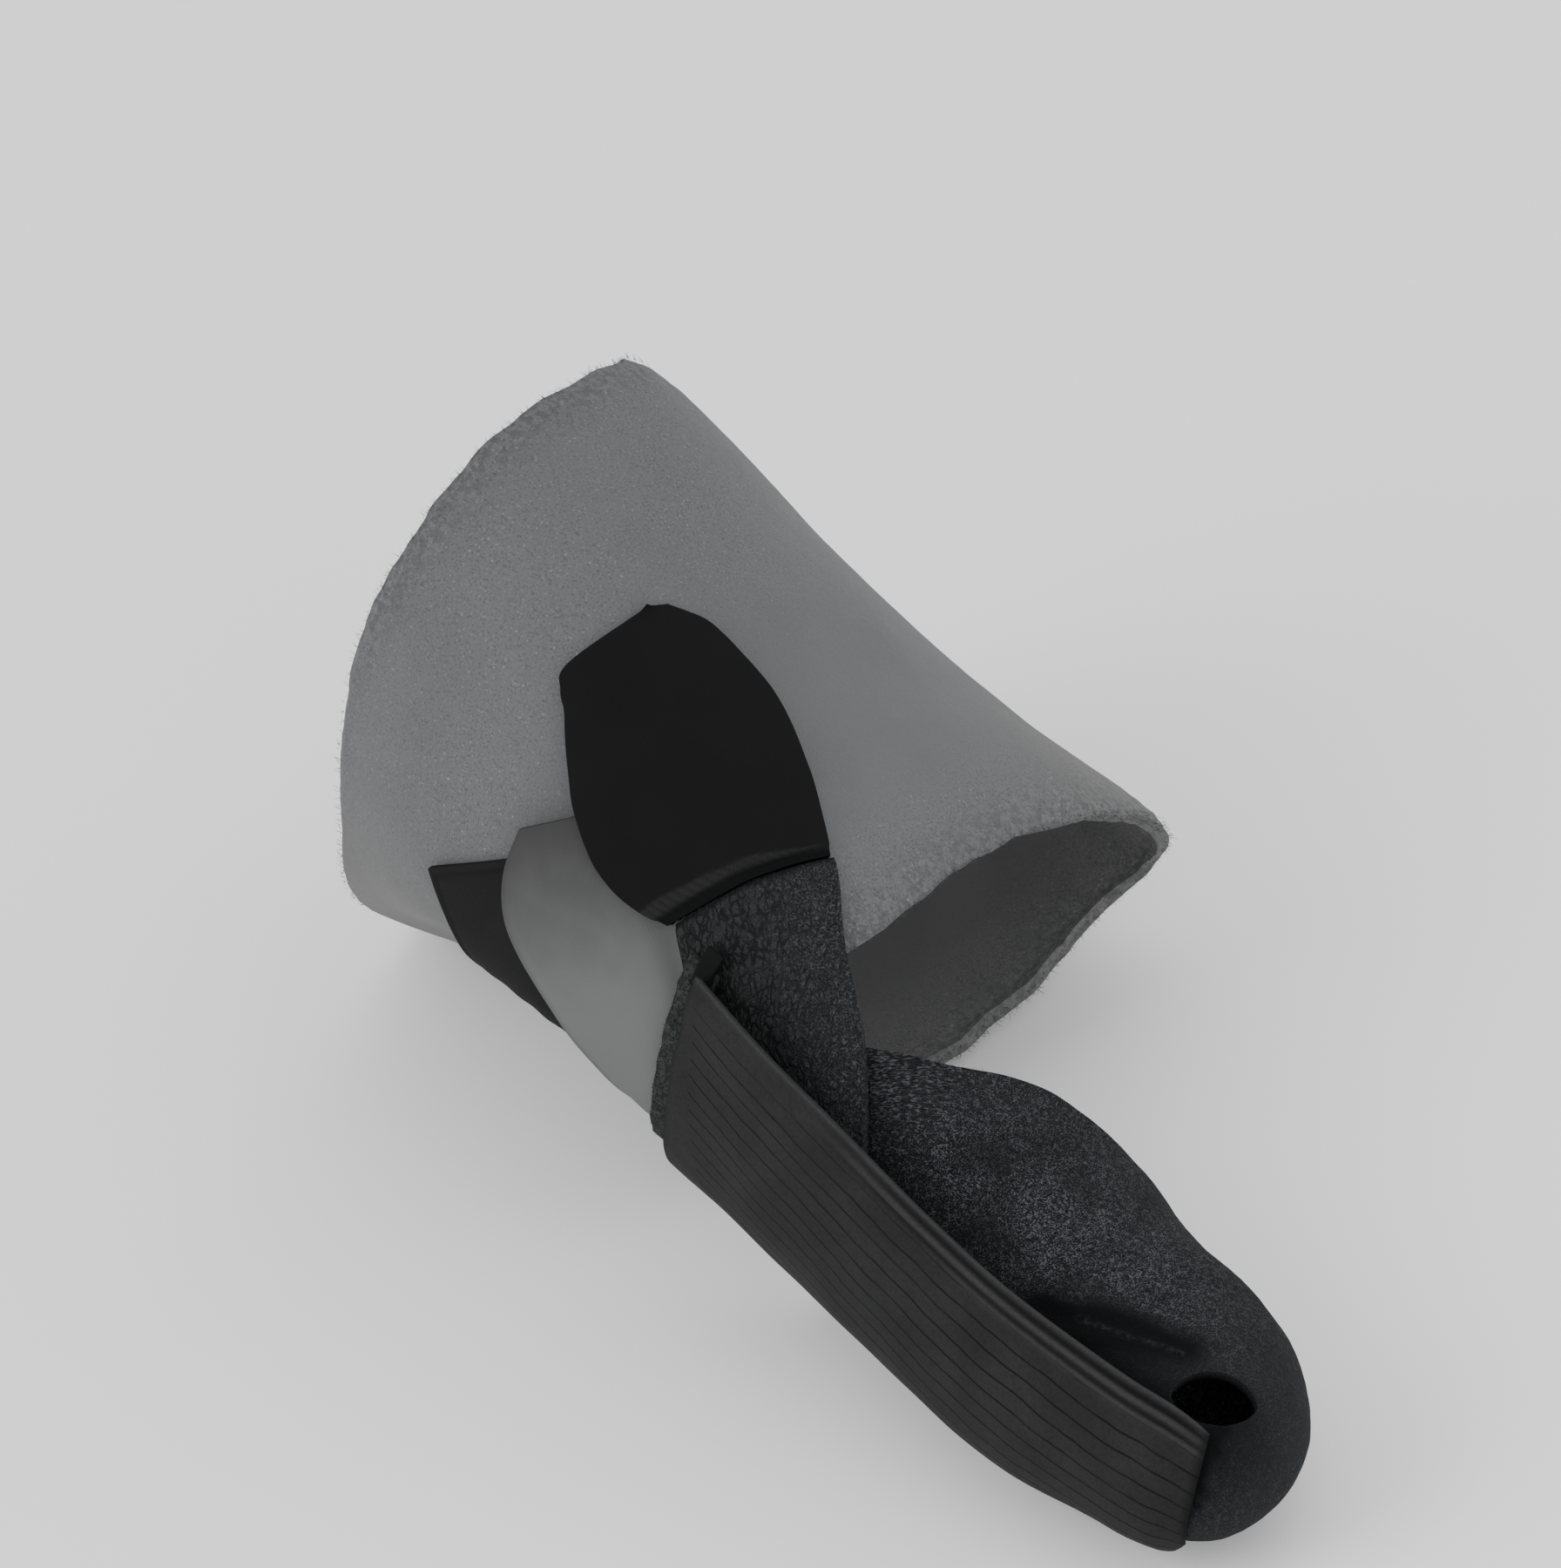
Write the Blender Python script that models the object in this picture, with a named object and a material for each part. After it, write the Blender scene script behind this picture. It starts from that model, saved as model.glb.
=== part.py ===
"""Bunion corrector for a left foot, in the shape that it has when worn.

The foot's own form is worked out from a few named sizes and one table of sections. It isn't built.
Every piece of cloth is a grid laid on that form, lifted clear of the pieces under it, with a wall
that grows outwards. X runs towards the toes, -Y to the inner side of the foot and +Z up.
The origin lies inside the midfoot wrap, on the axis of the foot that it sits on.
"""
from collections import namedtuple
from math import asin, atan2, cos, exp, pi, radians, sin

import bmesh
import bpy
from mathutils import Quaternion, Vector
from mathutils.bvhtree import BVHTree

# The foot that the part is worn on, in metres
FOOT_LENGTH = 0.2405
FOOT_WIDTH = 0.092
INSTEP_HEIGHT = 0.092
TOE_CAP_ROUND = 2.4
# The hollow under the arch: its depth, where along the foot and at which turn it is deepest, and
# how far it spreads, as a share of FOOT_LENGTH and in degrees
ARCH_HOLLOW = 0.0165
ARCH_HOLLOW_ALONG = 0.46
ARCH_HOLLOW_TURN = 228.0
ARCH_HOLLOW_SPREAD = 0.145
ARCH_HOLLOW_ARC = 33.0

# Walls of the cloths and the air that is left between two of them
WRAP_WALL = 0.0018
TONGUE_WALL = 0.0013
ARCH_WALL = 0.0010
INSTEP_WALL = 0.0013
TAB_WALL = 0.0011
SLEEVE_WALL = 0.0015
LINING_WALL = 0.0010
END_TAB_WALL = 0.0010
BAND_WALL = 0.0012
CLEARANCE = 0.00035

# Straps and tabs
TONGUE_WIDTH = 0.026
TONGUE_LENGTH = 0.0484
ARCH_WIDTH = 0.028
ARCH_LENGTH = 0.042
INSTEP_WIDTH = 0.029
INSTEP_LENGTH = 0.042
TAB_WIDTH = 0.027
TAB_LENGTH = 0.0375
LINING_SHOWS = 0.0038
LINING_TUCK = 0.0035
END_TAB_WIDTH = 0.0027
END_TAB_SHOWS = 0.0024
END_TAB_TUCK = 0.0020
END_TAB_OUT = 0.0015

# The ribbed band
BAND_WIDTH = 0.034
BAND_STAND_OFF = 0.0035
RIB_COUNT = 9
RIB_RISE = 0.00035
HEM_WIDTH = 0.0035
HEM_RISE = 0.0005

# The nail window of the sleeve
WINDOW_LENGTH = 0.0108
WINDOW_WIDTH = 0.0078
WINDOW_TWIST = 40.0

# The origin, as shares of the foot's length and of the instep's height
SEAT_ALONG = 0.48
SEAT_UP = 0.40

# Sections of the foot across its length. along is a share of FOOT_LENGTH. ridge is where the top
# line runs, inner and outer are the reach from it to each side, all shares of FOOT_WIDTH. waist_in
# and waist_out are the heights at which the two sides are widest, top and sole the highest and the
# lowest point, all shares of INSTEP_HEIGHT. The last four are the roundness of the quarters, 2 for
# an ellipse and more for a squarer one.
Section = namedtuple("Section", "along ridge inner outer waist_in waist_out top sole "
                                "top_in sole_in top_out sole_out")
SECTIONS = (
    Section(0.200, 0.02, 0.22, 0.33, 0.33, 0.25, 1.08, 0.04, 2.0, 2.0, 2.1, 2.2),
    Section(0.285, 0.00, 0.30, 0.38, 0.42, 0.25, 1.05, 0.05, 2.0, 2.0, 2.1, 2.2),
    Section(0.375, -0.03, 0.345, 0.46, 0.48, 0.25, 1.00, 0.05, 2.0, 2.0, 2.0, 2.2),
    Section(0.435, -0.08, 0.31, 0.52, 0.45, 0.24, 0.93, 0.05, 2.0, 2.0, 1.8, 2.2),
    Section(0.495, -0.12, 0.28, 0.57, 0.40, 0.22, 0.85, 0.05, 2.0, 1.9, 1.65, 2.2),
    Section(0.555, -0.15, 0.24, 0.62, 0.34, 0.20, 0.74, 0.05, 2.0, 1.8, 1.55, 2.2),
    Section(0.620, -0.18, 0.21, 0.66, 0.28, 0.17, 0.63, 0.04, 2.0, 1.7, 1.55, 2.2),
    Section(0.680, -0.22, 0.215, 0.63, 0.23, 0.16, 0.52, 0.03, 2.0, 1.8, 1.6, 2.2),
    Section(0.740, -0.27, 0.215, 0.40, 0.20, 0.16, 0.43, 0.035, 2.0, 1.9, 1.8, 2.2),
    Section(0.800, -0.32, 0.21, 0.24, 0.18, 0.16, 0.36, 0.045, 2.0, 2.0, 2.0, 2.2),
    Section(0.860, -0.37, 0.19, 0.185, 0.165, 0.16, 0.315, 0.055, 2.1, 2.1, 2.1, 2.2),
    Section(0.925, -0.41, 0.15, 0.165, 0.155, 0.155, 0.29, 0.06, 2.2, 2.2, 2.2, 2.2),
    Section(1.000, -0.46, 0.13, 0.165, 0.155, 0.155, 0.28, 0.065, 2.2, 2.2, 2.2, 2.2),
)
CAP_START = 0.925

# The midfoot wrap's two open edges, by the turn round the foot in degrees: 0 is the outer side,
# 90 the top, 180 the inner side and 270 the sole. back and front are shares of FOOT_LENGTH.
WrapEdge = namedtuple("WrapEdge", "turn back front")
WRAP_EDGES = (
    WrapEdge(0, 0.32, 0.60),
    WrapEdge(30, 0.345, 0.63),
    WrapEdge(60, 0.365, 0.65),
    WrapEdge(90, 0.375, 0.665),
    WrapEdge(120, 0.37, 0.65),
    WrapEdge(150, 0.347, 0.60),
    WrapEdge(180, 0.328, 0.575),
    WrapEdge(210, 0.292, 0.56),
    WrapEdge(235, 0.262, 0.56),
    WrapEdge(270, 0.23, 0.57),
    WrapEdge(300, 0.235, 0.58),
    WrapEdge(330, 0.27, 0.58),
)

# The toe sleeve's open edges. along is a share of FOOT_LENGTH, upper and under are turns in degrees
# of the edge on the top of the foot and of the edge on the sole. They meet where the web begins.
SleeveEdge = namedtuple("SleeveEdge", "along upper under")
SLEEVE_EDGES = (
    SleeveEdge(0.665, 130, 262),
    SleeveEdge(0.70, 113, 268),
    SleeveEdge(0.73, 94, 276),
    SleeveEdge(0.76, 74, 290),
    SleeveEdge(0.795, 52, 316),
    SleeveEdge(0.825, 26, 340),
    SleeveEdge(0.85, 0, 360),
)

# Straps start at a place on the foot and follow a course over it. start_along is a share of
# FOOT_LENGTH, start_turn and course are degrees: a course of 0 runs to the toes and 90 runs down
# the inner side. bend is how far the course turns towards the sole on its way. Their outlines give
# the reach as a share of the length, and how far the rear and the front edge lie from the middle
# line as shares of the width.
Course = namedtuple("Course", "start_along start_turn course bend")
Outline = namedtuple("Outline", "reach rear front")
SEAM_AT = Course(0.608, 116, 42, 0)
TAB_OUTLINE = (
    Outline(0.00, 0.39, 0.33),
    Outline(0.12, 0.51, 0.35),
    Outline(0.30, 0.59, 0.38),
    Outline(0.60, 0.57, 0.38),
    Outline(0.80, 0.51, 0.28),
    Outline(0.93, 0.43, 0.17),
    Outline(1.00, 0.06, 0.03),
)
INSTEP_BEND = 32
INSTEP_OUTLINE = (
    Outline(0.00, 0.325, 0.315),
    Outline(0.25, 0.38, 0.27),
    Outline(0.50, 0.48, 0.32),
    Outline(0.75, 0.50, 0.38),
    Outline(1.00, 0.50, 0.46),
)
TONGUE_COURSE = Course(0.53, 130, 60, -10)
TONGUE_OUTLINE = (
    Outline(0.00, 0.46, 0.44),
    Outline(0.10, 0.62, 0.50),
    Outline(0.22, 0.70, 0.47),
    Outline(0.45, 0.63, 0.42),
    Outline(0.63, 0.51, 0.36),
    Outline(1.00, 0.40, 0.28),
)
ARCH_COURSE = Course(0.494, 152, 66, 0)
ARCH_OUTLINE = (
    Outline(0.00, 0.70, 0.28),
    Outline(0.10, 0.71, 0.29),
    Outline(0.50, 0.71, 0.29),
    Outline(0.90, 0.70, 0.29),
    Outline(1.00, 0.68, 0.28),
)

# The band's upper edge: along is a share of FOOT_LENGTH, turn is in degrees and width is a share of
# BAND_WIDTH. slant is how far the lines down the band lean to the toes, in degrees.
Edge = namedtuple("Edge", "along turn width slant")
BAND_EDGE = (
    Edge(0.613, 138, 1.00, 12),
    Edge(0.67, 134, 1.00, 10),
    Edge(0.725, 130, 1.00, 8),
    Edge(0.79, 127, 0.96, 6),
    Edge(0.86, 123, 0.88, 4),
    Edge(0.93, 120, 0.71, 5),
    Edge(0.986, 113, 0.42, 24),
)
WINDOW_ALONG = 0.972
WINDOW_TURN = 93

# Facets of each piece
WRAP_ROUND, WRAP_ALONG = 44, 14
SLEEVE_ROUND, SLEEVE_ALONG = 30, 22
BAND_ALONG, FACETS_PER_RIB = 24, 3
STRAP_ACROSS, STRAP_ALONG = 10, 14
LINING_ACROSS = 3
END_TAB_FACETS = 2

# How a place is found on the form, how a cloth eases over the edges under it, and the small steps
# that slopes are measured over
LOCATE_ROUNDS = 8
EASE_ROUNDS = 6
EASE_SLOPE = 0.35
SAMPLES = 3
FEEL_DEPTH = 0.020
SMALL_STEP = 0.0001
SMALL_TURN = 0.01

# Colour, roughness
GREY_FLEECE = ((0.155, 0.160, 0.165), 0.95)
GREY_KNIT = ((0.165, 0.166, 0.167), 0.85)
BLACK_FLEECE = ((0.020, 0.022, 0.025), 0.95)
BLACK_WEB = ((0.013, 0.013, 0.014), 0.75)
BLACK_RIB = ((0.028, 0.028, 0.030), 0.80)

SEAT = Vector((FOOT_LENGTH * SEAT_ALONG, 0.0, INSTEP_HEIGHT * SEAT_UP))
TIP = FOOT_LENGTH
CAP_FROM = CAP_START * FOOT_LENGTH
CAP_REACH = TIP - CAP_FROM
CAP_TRAVEL = CAP_REACH * pi / 2.0
TRAVEL_END = CAP_FROM + CAP_TRAVEL


def between(rows, key, value):
    """All columns of a table at a value of its key column, on a smooth curve through its rows."""
    keys = [getattr(row, key) for row in rows]
    value = min(max(value, keys[0]), keys[-1])
    index = 0
    while index < len(rows) - 2 and value > keys[index + 1]:
        index += 1
    span = keys[index + 1] - keys[index]
    part = (value - keys[index]) / span
    out = []
    for column in range(len(rows[0])):
        here, there = rows[index][column], rows[index + 1][column]
        before = rows[max(index - 1, 0)][column]
        after = rows[min(index + 2, len(rows) - 1)][column]
        reach_here = keys[index + 1] - keys[max(index - 1, 0)]
        reach_there = keys[min(index + 2, len(rows) - 1)] - keys[index]
        slope_here = (there - before) / reach_here * span
        slope_there = (after - here) / reach_there * span
        square, cube = part * part, part * part * part
        out.append(here * (2 * cube - 3 * square + 1) + slope_here * (cube - 2 * square + part)
                   + there * (3 * square - 2 * cube) + slope_there * (cube - square))
    return type(rows[0])(*out)


def station(travel):
    """Place along X and the closing share of the toe cap, for a travel along the foot."""
    if travel <= CAP_FROM:
        return travel, 1.0
    lean = min((travel - CAP_FROM) / CAP_TRAVEL, 1.0) * pi / 2.0
    power = 2.0 / TOE_CAP_ROUND
    return CAP_FROM + CAP_REACH * sin(lean) ** power, max(cos(lean), 0.0) ** power


def travel_at(x):
    """Travel along the foot that reaches a place along X."""
    if x <= CAP_FROM:
        return x
    part = min((x - CAP_FROM) / CAP_REACH, 0.999)
    return CAP_FROM + CAP_TRAVEL * asin(part ** (TOE_CAP_ROUND / 2.0)) / (pi / 2.0)


def quarter(section, turn):
    """Half width, half height, waist and roundness of the quarter that a turn lies in."""
    side, waist = section.inner, section.waist_in
    if cos(turn) >= 0:
        side, waist = section.outer, section.waist_out
    rise = section.top - waist if sin(turn) >= 0 else waist - section.sole
    if sin(turn) >= 0:
        roundness = section.top_out if cos(turn) >= 0 else section.top_in
    else:
        roundness = section.sole_out if cos(turn) >= 0 else section.sole_in
    return side * FOOT_WIDTH, rise * INSTEP_HEIGHT, waist * INSTEP_HEIGHT, roundness


def hollow(share, turn):
    """Depth of the arch's hollow at a place on the foot."""
    along = exp(-((share - ARCH_HOLLOW_ALONG) / ARCH_HOLLOW_SPREAD) ** 2)
    across = exp(-((turn - radians(ARCH_HOLLOW_TURN)) / radians(ARCH_HOLLOW_ARC)) ** 2)
    return ARCH_HOLLOW * along * across


def on_foot(travel, turn):
    """Point on the foot's form."""
    x, closing = station(travel)
    section = between(SECTIONS, "along", x / FOOT_LENGTH)
    turn = turn % (2.0 * pi)
    half_width, half_height, waist, roundness = quarter(section, turn)
    power = 2.0 / roundness
    across = abs(cos(turn)) ** power * (1 if cos(turn) >= 0 else -1)
    up = abs(sin(turn)) ** power * (1 if sin(turn) >= 0 else -1)
    ridge = section.ridge * FOOT_WIDTH
    point = Vector((x, ridge + half_width * across * closing, waist + half_height * up * closing))
    point.z += hollow(x / FOOT_LENGTH, turn)
    return point


def outwards(travel, turn):
    """Unit normal of the foot's form."""
    if travel > TRAVEL_END - 2.0 * SMALL_STEP:
        return Vector((1.0, 0.0, 0.0))
    along = on_foot(travel + SMALL_STEP, turn) - on_foot(travel - SMALL_STEP, turn)
    around = on_foot(travel, turn + SMALL_TURN) - on_foot(travel, turn - SMALL_TURN)
    return around.cross(along).normalized()


def locate(point):
    """Travel and turn of the place on the form that lies nearest a point in its own section."""
    travel = travel_at(point.x)
    share = point.x / FOOT_LENGTH
    section = between(SECTIONS, "along", share)
    across = point.y - section.ridge * FOOT_WIDTH
    waist = (section.waist_out if across >= 0 else section.waist_in) * INSTEP_HEIGHT
    sign = 1 if across >= 0 else -1
    turn = atan2(point.z - waist, across) % (2.0 * pi)
    for _ in range(LOCATE_ROUNDS):
        up = point.z - hollow(share, turn) - waist
        half_width, half_height, _, roundness = quarter(section, atan2(up, across))
        power = roundness / 2.0
        u = (abs(across) / half_width) ** power * sign
        v = (abs(up) / half_height) ** power * (1 if up >= 0 else -1)
        turn = atan2(v, u) % (2.0 * pi)
    return travel, turn


def step_on(travel, turn, way, distance):
    """Step over the form: the new travel and turn, and the way turned to stay on the surface."""
    normal = outwards(travel, turn)
    way = (way - normal * way.dot(normal)).normalized()
    target = on_foot(travel, turn) + way * distance
    travel, turn = locate(target)
    normal = outwards(travel, turn)
    return travel, turn, (way - normal * way.dot(normal)).normalized()


def walk(travel, turn, way, distance, strides):
    """Walk a distance over the form in even strides, and list each place on the way."""
    places = [(travel, turn)]
    for _ in range(strides):
        travel, turn, way = step_on(travel, turn, way, distance / strides)
        places.append((travel, turn))
    return places


def course_way(travel, turn, course):
    """Direction on the form of a course in degrees, from the toes round to the inner side."""
    normal = outwards(travel, turn)
    ahead = Vector((1.0, 0.0, 0.0))
    ahead = (ahead - normal * ahead.dot(normal)).normalized()
    down = ahead.cross(normal)
    if (on_foot(travel, turn + SMALL_TURN) - on_foot(travel, turn)).dot(down) < 0:
        down = -down
    return ahead * cos(radians(course)) + down * sin(radians(course))


def strap_places(course, outline, length, width, start=0.0):
    """Grid of places of a strap: a row for each reach, from its rear to its front edge."""
    travel, turn = course.start_along * FOOT_LENGTH, radians(course.start_turn)
    way = course_way(travel, turn, course.course)
    travel, turn, way = step_on(travel, turn, way, start)
    rows = []
    half = STRAP_ACROSS // 2
    for row in range(STRAP_ALONG + 1):
        reach = row / STRAP_ALONG
        shape = between(outline, "reach", reach)
        normal = outwards(travel, turn)
        front = normal.cross(way)
        if front.x < 0:
            front = -front
        rear_places = walk(travel, turn, -front, shape.rear * width, half)
        front_places = walk(travel, turn, front, shape.front * width, half)
        rows.append(rear_places[::-1] + front_places[1:])
        travel, turn, way = step_on(travel, turn, way, (length - start) / STRAP_ALONG)
        way = Quaternion(outwards(travel, turn), -radians(course.bend) / STRAP_ALONG) @ way
    return rows


def band_line(reach, drop, strides):
    """Places on a line down the band, from a reach along its upper edge. drop is its length at
    the band's full width."""
    edge = between(BAND_EDGE, "along", reach / FOOT_LENGTH)
    travel, turn = edge.along * FOOT_LENGTH, radians(edge.turn)
    ahead = between(BAND_EDGE, "along", edge.along + SMALL_TURN)
    behind = between(BAND_EDGE, "along", edge.along - SMALL_TURN)
    way = (on_foot(ahead.along * FOOT_LENGTH, radians(ahead.turn))
           - on_foot(behind.along * FOOT_LENGTH, radians(behind.turn))).normalized()
    if abs(reach - travel) > SMALL_STEP / 100.0:
        travel, turn, way = step_on(travel, turn, way, reach - travel)
    down = way.cross(outwards(travel, turn))
    if down.z > 0:
        down = -down
    slant = radians(edge.slant)
    down = down * cos(slant) + way * sin(slant)
    return walk(travel, turn, down, drop * edge.width, strides)


def ground(places):
    """Points and normals of a grid of places."""
    points = [[on_foot(*place) for place in row] for row in places]
    normals = [[outwards(*place) for place in row] for row in places]
    return points, normals


def height_over(trees, point, normal):
    """Height of the highest cloth over a point of the form, and None where there is none."""
    top = None
    point = point - SEAT
    for tree in trees:
        hit = tree.ray_cast(point + normal * FEEL_DEPTH, -normal, FEEL_DEPTH * 1.2)[0]
        if hit is not None:
            height = (hit - point).dot(normal)
            top = height if top is None else max(top, height)
    return top


def needed_lifts(points, normals, trees):
    """Lift that each point of a grid needs so that its facets clear the cloth under them."""
    rows, columns = len(points), len(points[0])
    need = [[0.0] * columns for _ in range(rows)]
    steps = [i / SAMPLES for i in range(SAMPLES + 1)]
    for row in range(rows - 1):
        for column in range(columns - 1):
            corners = ((row, column), (row + 1, column), (row, column + 1), (row + 1, column + 1))
            top = 0.0
            for s in steps:
                for t in steps:
                    shares = ((1 - s) * (1 - t), s * (1 - t), (1 - s) * t, s * t)
                    point = sum((points[r][c] * k for (r, c), k in zip(corners, shares)), Vector())
                    normal = sum((normals[r][c] * k for (r, c), k in zip(corners, shares)), Vector())
                    height = height_over(trees, point, normal.normalized())
                    if height is not None:
                        top = max(top, height + CLEARANCE)
            for r, c in corners:
                need[r][c] = max(need[r][c], top)
    return need


def beside(row, column, rows, columns):
    """The places next to one in a grid."""
    places = ((row - 1, column), (row + 1, column), (row, column - 1), (row, column + 1))
    return [(r, c) for r, c in places if 0 <= r < rows and 0 <= c < columns]


def drape(points, normals, under):
    """Lifts that hold a grid clear of the pieces under it, with ramps where their edges end."""
    depsgraph = bpy.context.evaluated_depsgraph_get()
    trees = [BVHTree.FromObject(piece, depsgraph) for piece in under]
    need = needed_lifts(points, normals, trees)
    rows, columns = len(points), len(points[0])
    order = [(row, column) for row in range(rows) for column in range(columns)]
    for places in (order, order[::-1]) * 2:
        for row, column in places:
            for r, c in beside(row, column, rows, columns):
                ramp = need[r][c] - EASE_SLOPE * (points[r][c] - points[row][column]).length
                need[row][column] = max(need[row][column], ramp)
    lifts = [line[:] for line in need]
    for _ in range(EASE_ROUNDS):
        eased = [line[:] for line in lifts]
        for row, column in order:
            near = [lifts[r][c] for r, c in beside(row, column, rows, columns)]
            eased[row][column] = max(need[row][column], sum(near) / len(near))
        lifts = eased
    return lifts


def raise_grid(points, normals, lifts):
    """Points of a grid moved out along its normals."""
    return [[point + normal * lift for point, normal, lift in zip(*lines)]
            for lines in zip(points, normals, lifts)]


def material(name, finish):
    """Plain cloth material."""
    colour, roughness = finish
    made = bpy.data.materials.new(name)
    made.use_nodes = True
    shader = made.node_tree.nodes["Principled BSDF"]
    shader.inputs["Base Color"].default_value = (*colour, 1.0)
    shader.inputs["Roughness"].default_value = roughness
    shader.inputs["Metallic"].default_value = 0.0
    return made


def cloth(name, grid, facing, wall, finish):
    """Piece of cloth: a grid for its inner face, with a wall that grows outwards."""
    rows, columns = len(grid), len(grid[0])
    bm = bmesh.new()
    bmesh.ops.create_grid(bm, x_segments=columns - 1, y_segments=rows - 1, size=1.0)
    for vertex in bm.verts:
        column = round((vertex.co.x + 1.0) / 2.0 * (columns - 1))
        row = round((vertex.co.y + 1.0) / 2.0 * (rows - 1))
        vertex.co = grid[row][column] - SEAT
    bm.normal_update()
    bm.faces.ensure_lookup_table()
    middle = bm.faces[len(bm.faces) // 2]
    if middle.normal.dot(facing(middle.calc_center_median() + SEAT)) < 0:
        bmesh.ops.reverse_faces(bm, faces=bm.faces)
    bmesh.ops.remove_doubles(bm, verts=bm.verts, dist=1e-6)
    mesh = bpy.data.meshes.new(name)
    bm.to_mesh(mesh)
    bm.free()
    mesh.materials.append(material(name, finish))
    mesh.shade_smooth()
    piece = bpy.data.objects.new(name, mesh)
    bpy.context.scene.collection.objects.link(piece)
    thick = piece.modifiers.new("wall", "SOLIDIFY")
    thick.thickness = wall
    thick.offset = 1.0
    thick.use_even_offset = False
    return piece


def form_facing(point):
    """Normal of the form near a point."""
    return outwards(*locate(point))


def midfoot_wrap():
    """Grey wrap round the midfoot, a tube with a slanted edge behind and in front."""
    edges = WRAP_EDGES + (WRAP_EDGES[0]._replace(turn=360),)
    grid = []
    for row in range(WRAP_ALONG + 1):
        line = []
        for column in range(WRAP_ROUND + 1):
            turn = 360.0 * (column % WRAP_ROUND) / WRAP_ROUND
            edge = between(edges, "turn", turn)
            share = edge.back + (edge.front - edge.back) * row / WRAP_ALONG
            line.append(on_foot(share * FOOT_LENGTH, radians(turn)))
        grid.append(line)
    return cloth("midfoot_wrap", grid, form_facing, WRAP_WALL, GREY_FLEECE)


def toe_sleeve():
    """Black sleeve: closed round the toe to its tip, split behind the web into two flaps."""
    start = SLEEVE_EDGES[0].along * FOOT_LENGTH
    grid = []
    for row in range(SLEEVE_ALONG + 1):
        travel = start + (TRAVEL_END - start) * row / SLEEVE_ALONG
        share = min(travel / FOOT_LENGTH, SLEEVE_EDGES[-1].along)
        edge = between(SLEEVE_EDGES, "along", share)
        line = []
        for column in range(SLEEVE_ROUND + 1):
            turn = edge.upper + (edge.under - edge.upper) * column / SLEEVE_ROUND
            line.append(on_foot(travel, radians(turn % 360.0)))
        grid.append(line)
    piece = cloth("toe_sleeve", grid, form_facing, SLEEVE_WALL, BLACK_FLEECE)
    cut_window(piece)
    return piece


def cut_window(piece):
    """Oval nail window through the upper side of the sleeve."""
    travel, turn = WINDOW_ALONG * FOOT_LENGTH, radians(WINDOW_TURN)
    normal = outwards(travel, turn)
    way = course_way(travel, turn, -WINDOW_TWIST)
    side = normal.cross(way)
    middle = on_foot(travel, turn) - SEAT
    bm = bmesh.new()
    bmesh.ops.create_cone(bm, cap_ends=True, segments=20, radius1=0.5, radius2=0.5, depth=1.0)
    for vertex in bm.verts:
        vertex.co = (middle + way * vertex.co.x * WINDOW_LENGTH + side * vertex.co.y * WINDOW_WIDTH
                     + normal * vertex.co.z * SLEEVE_WALL * 4.0)
    bmesh.ops.recalc_face_normals(bm, faces=bm.faces)
    mesh = bpy.data.meshes.new("nail_window_cutter")
    bm.to_mesh(mesh)
    bm.free()
    cutter = bpy.data.objects.new("nail_window_cutter", mesh)
    bpy.context.scene.collection.objects.link(cutter)
    cutter.hide_render = True
    cutter.display_type = "WIRE"
    cut = piece.modifiers.new("nail window", "BOOLEAN")
    cut.operation = "DIFFERENCE"
    cut.object = cutter


def strap(name, places, under, wall, finish):
    """Strap laid over the pieces under it."""
    points, normals = ground(places)
    lifts = drape(points, normals, under)
    return cloth(name, raise_grid(points, normals, lifts), form_facing, wall, finish)


def rib_height(drop):
    """Height of the band's face at a drop from its upper edge: the hem's ridge, then the ribs."""
    if drop < HEM_WIDTH:
        return HEM_RISE * (0.5 - 0.5 * cos(2.0 * pi * drop / HEM_WIDTH))
    share = (drop - HEM_WIDTH) / (BAND_WIDTH - HEM_WIDTH)
    return RIB_RISE * (0.5 - 0.5 * cos(2.0 * pi * RIB_COUNT * share))


def band_start():
    """Reach at which the band begins."""
    return BAND_EDGE[0].along * FOOT_LENGTH


def band_lining(under):
    """Lining strip under the band's rear end, which shows behind its edge."""
    places = []
    for column in range(LINING_ACROSS + 1):
        offset = -LINING_SHOWS + (LINING_SHOWS + LINING_TUCK) * column / LINING_ACROSS
        places.append(band_line(band_start() + offset, BAND_WIDTH - CLEARANCE, STRAP_ALONG))
    return strap("band_lining", places, under, LINING_WALL, BLACK_FLEECE)


def band_end_tab(under):
    """Square end of tape that looks out over the band's rear top corner."""
    places = []
    for column in range(END_TAB_FACETS + 1):
        reach = band_start() - END_TAB_OUT + END_TAB_WIDTH * column / END_TAB_FACETS
        above = band_line(reach, -END_TAB_SHOWS, END_TAB_FACETS)
        below = band_line(reach, END_TAB_TUCK, END_TAB_FACETS)
        places.append(above[::-1] + below[1:])
    return strap("band_end_tab", places, under, END_TAB_WALL, BLACK_WEB)


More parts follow.
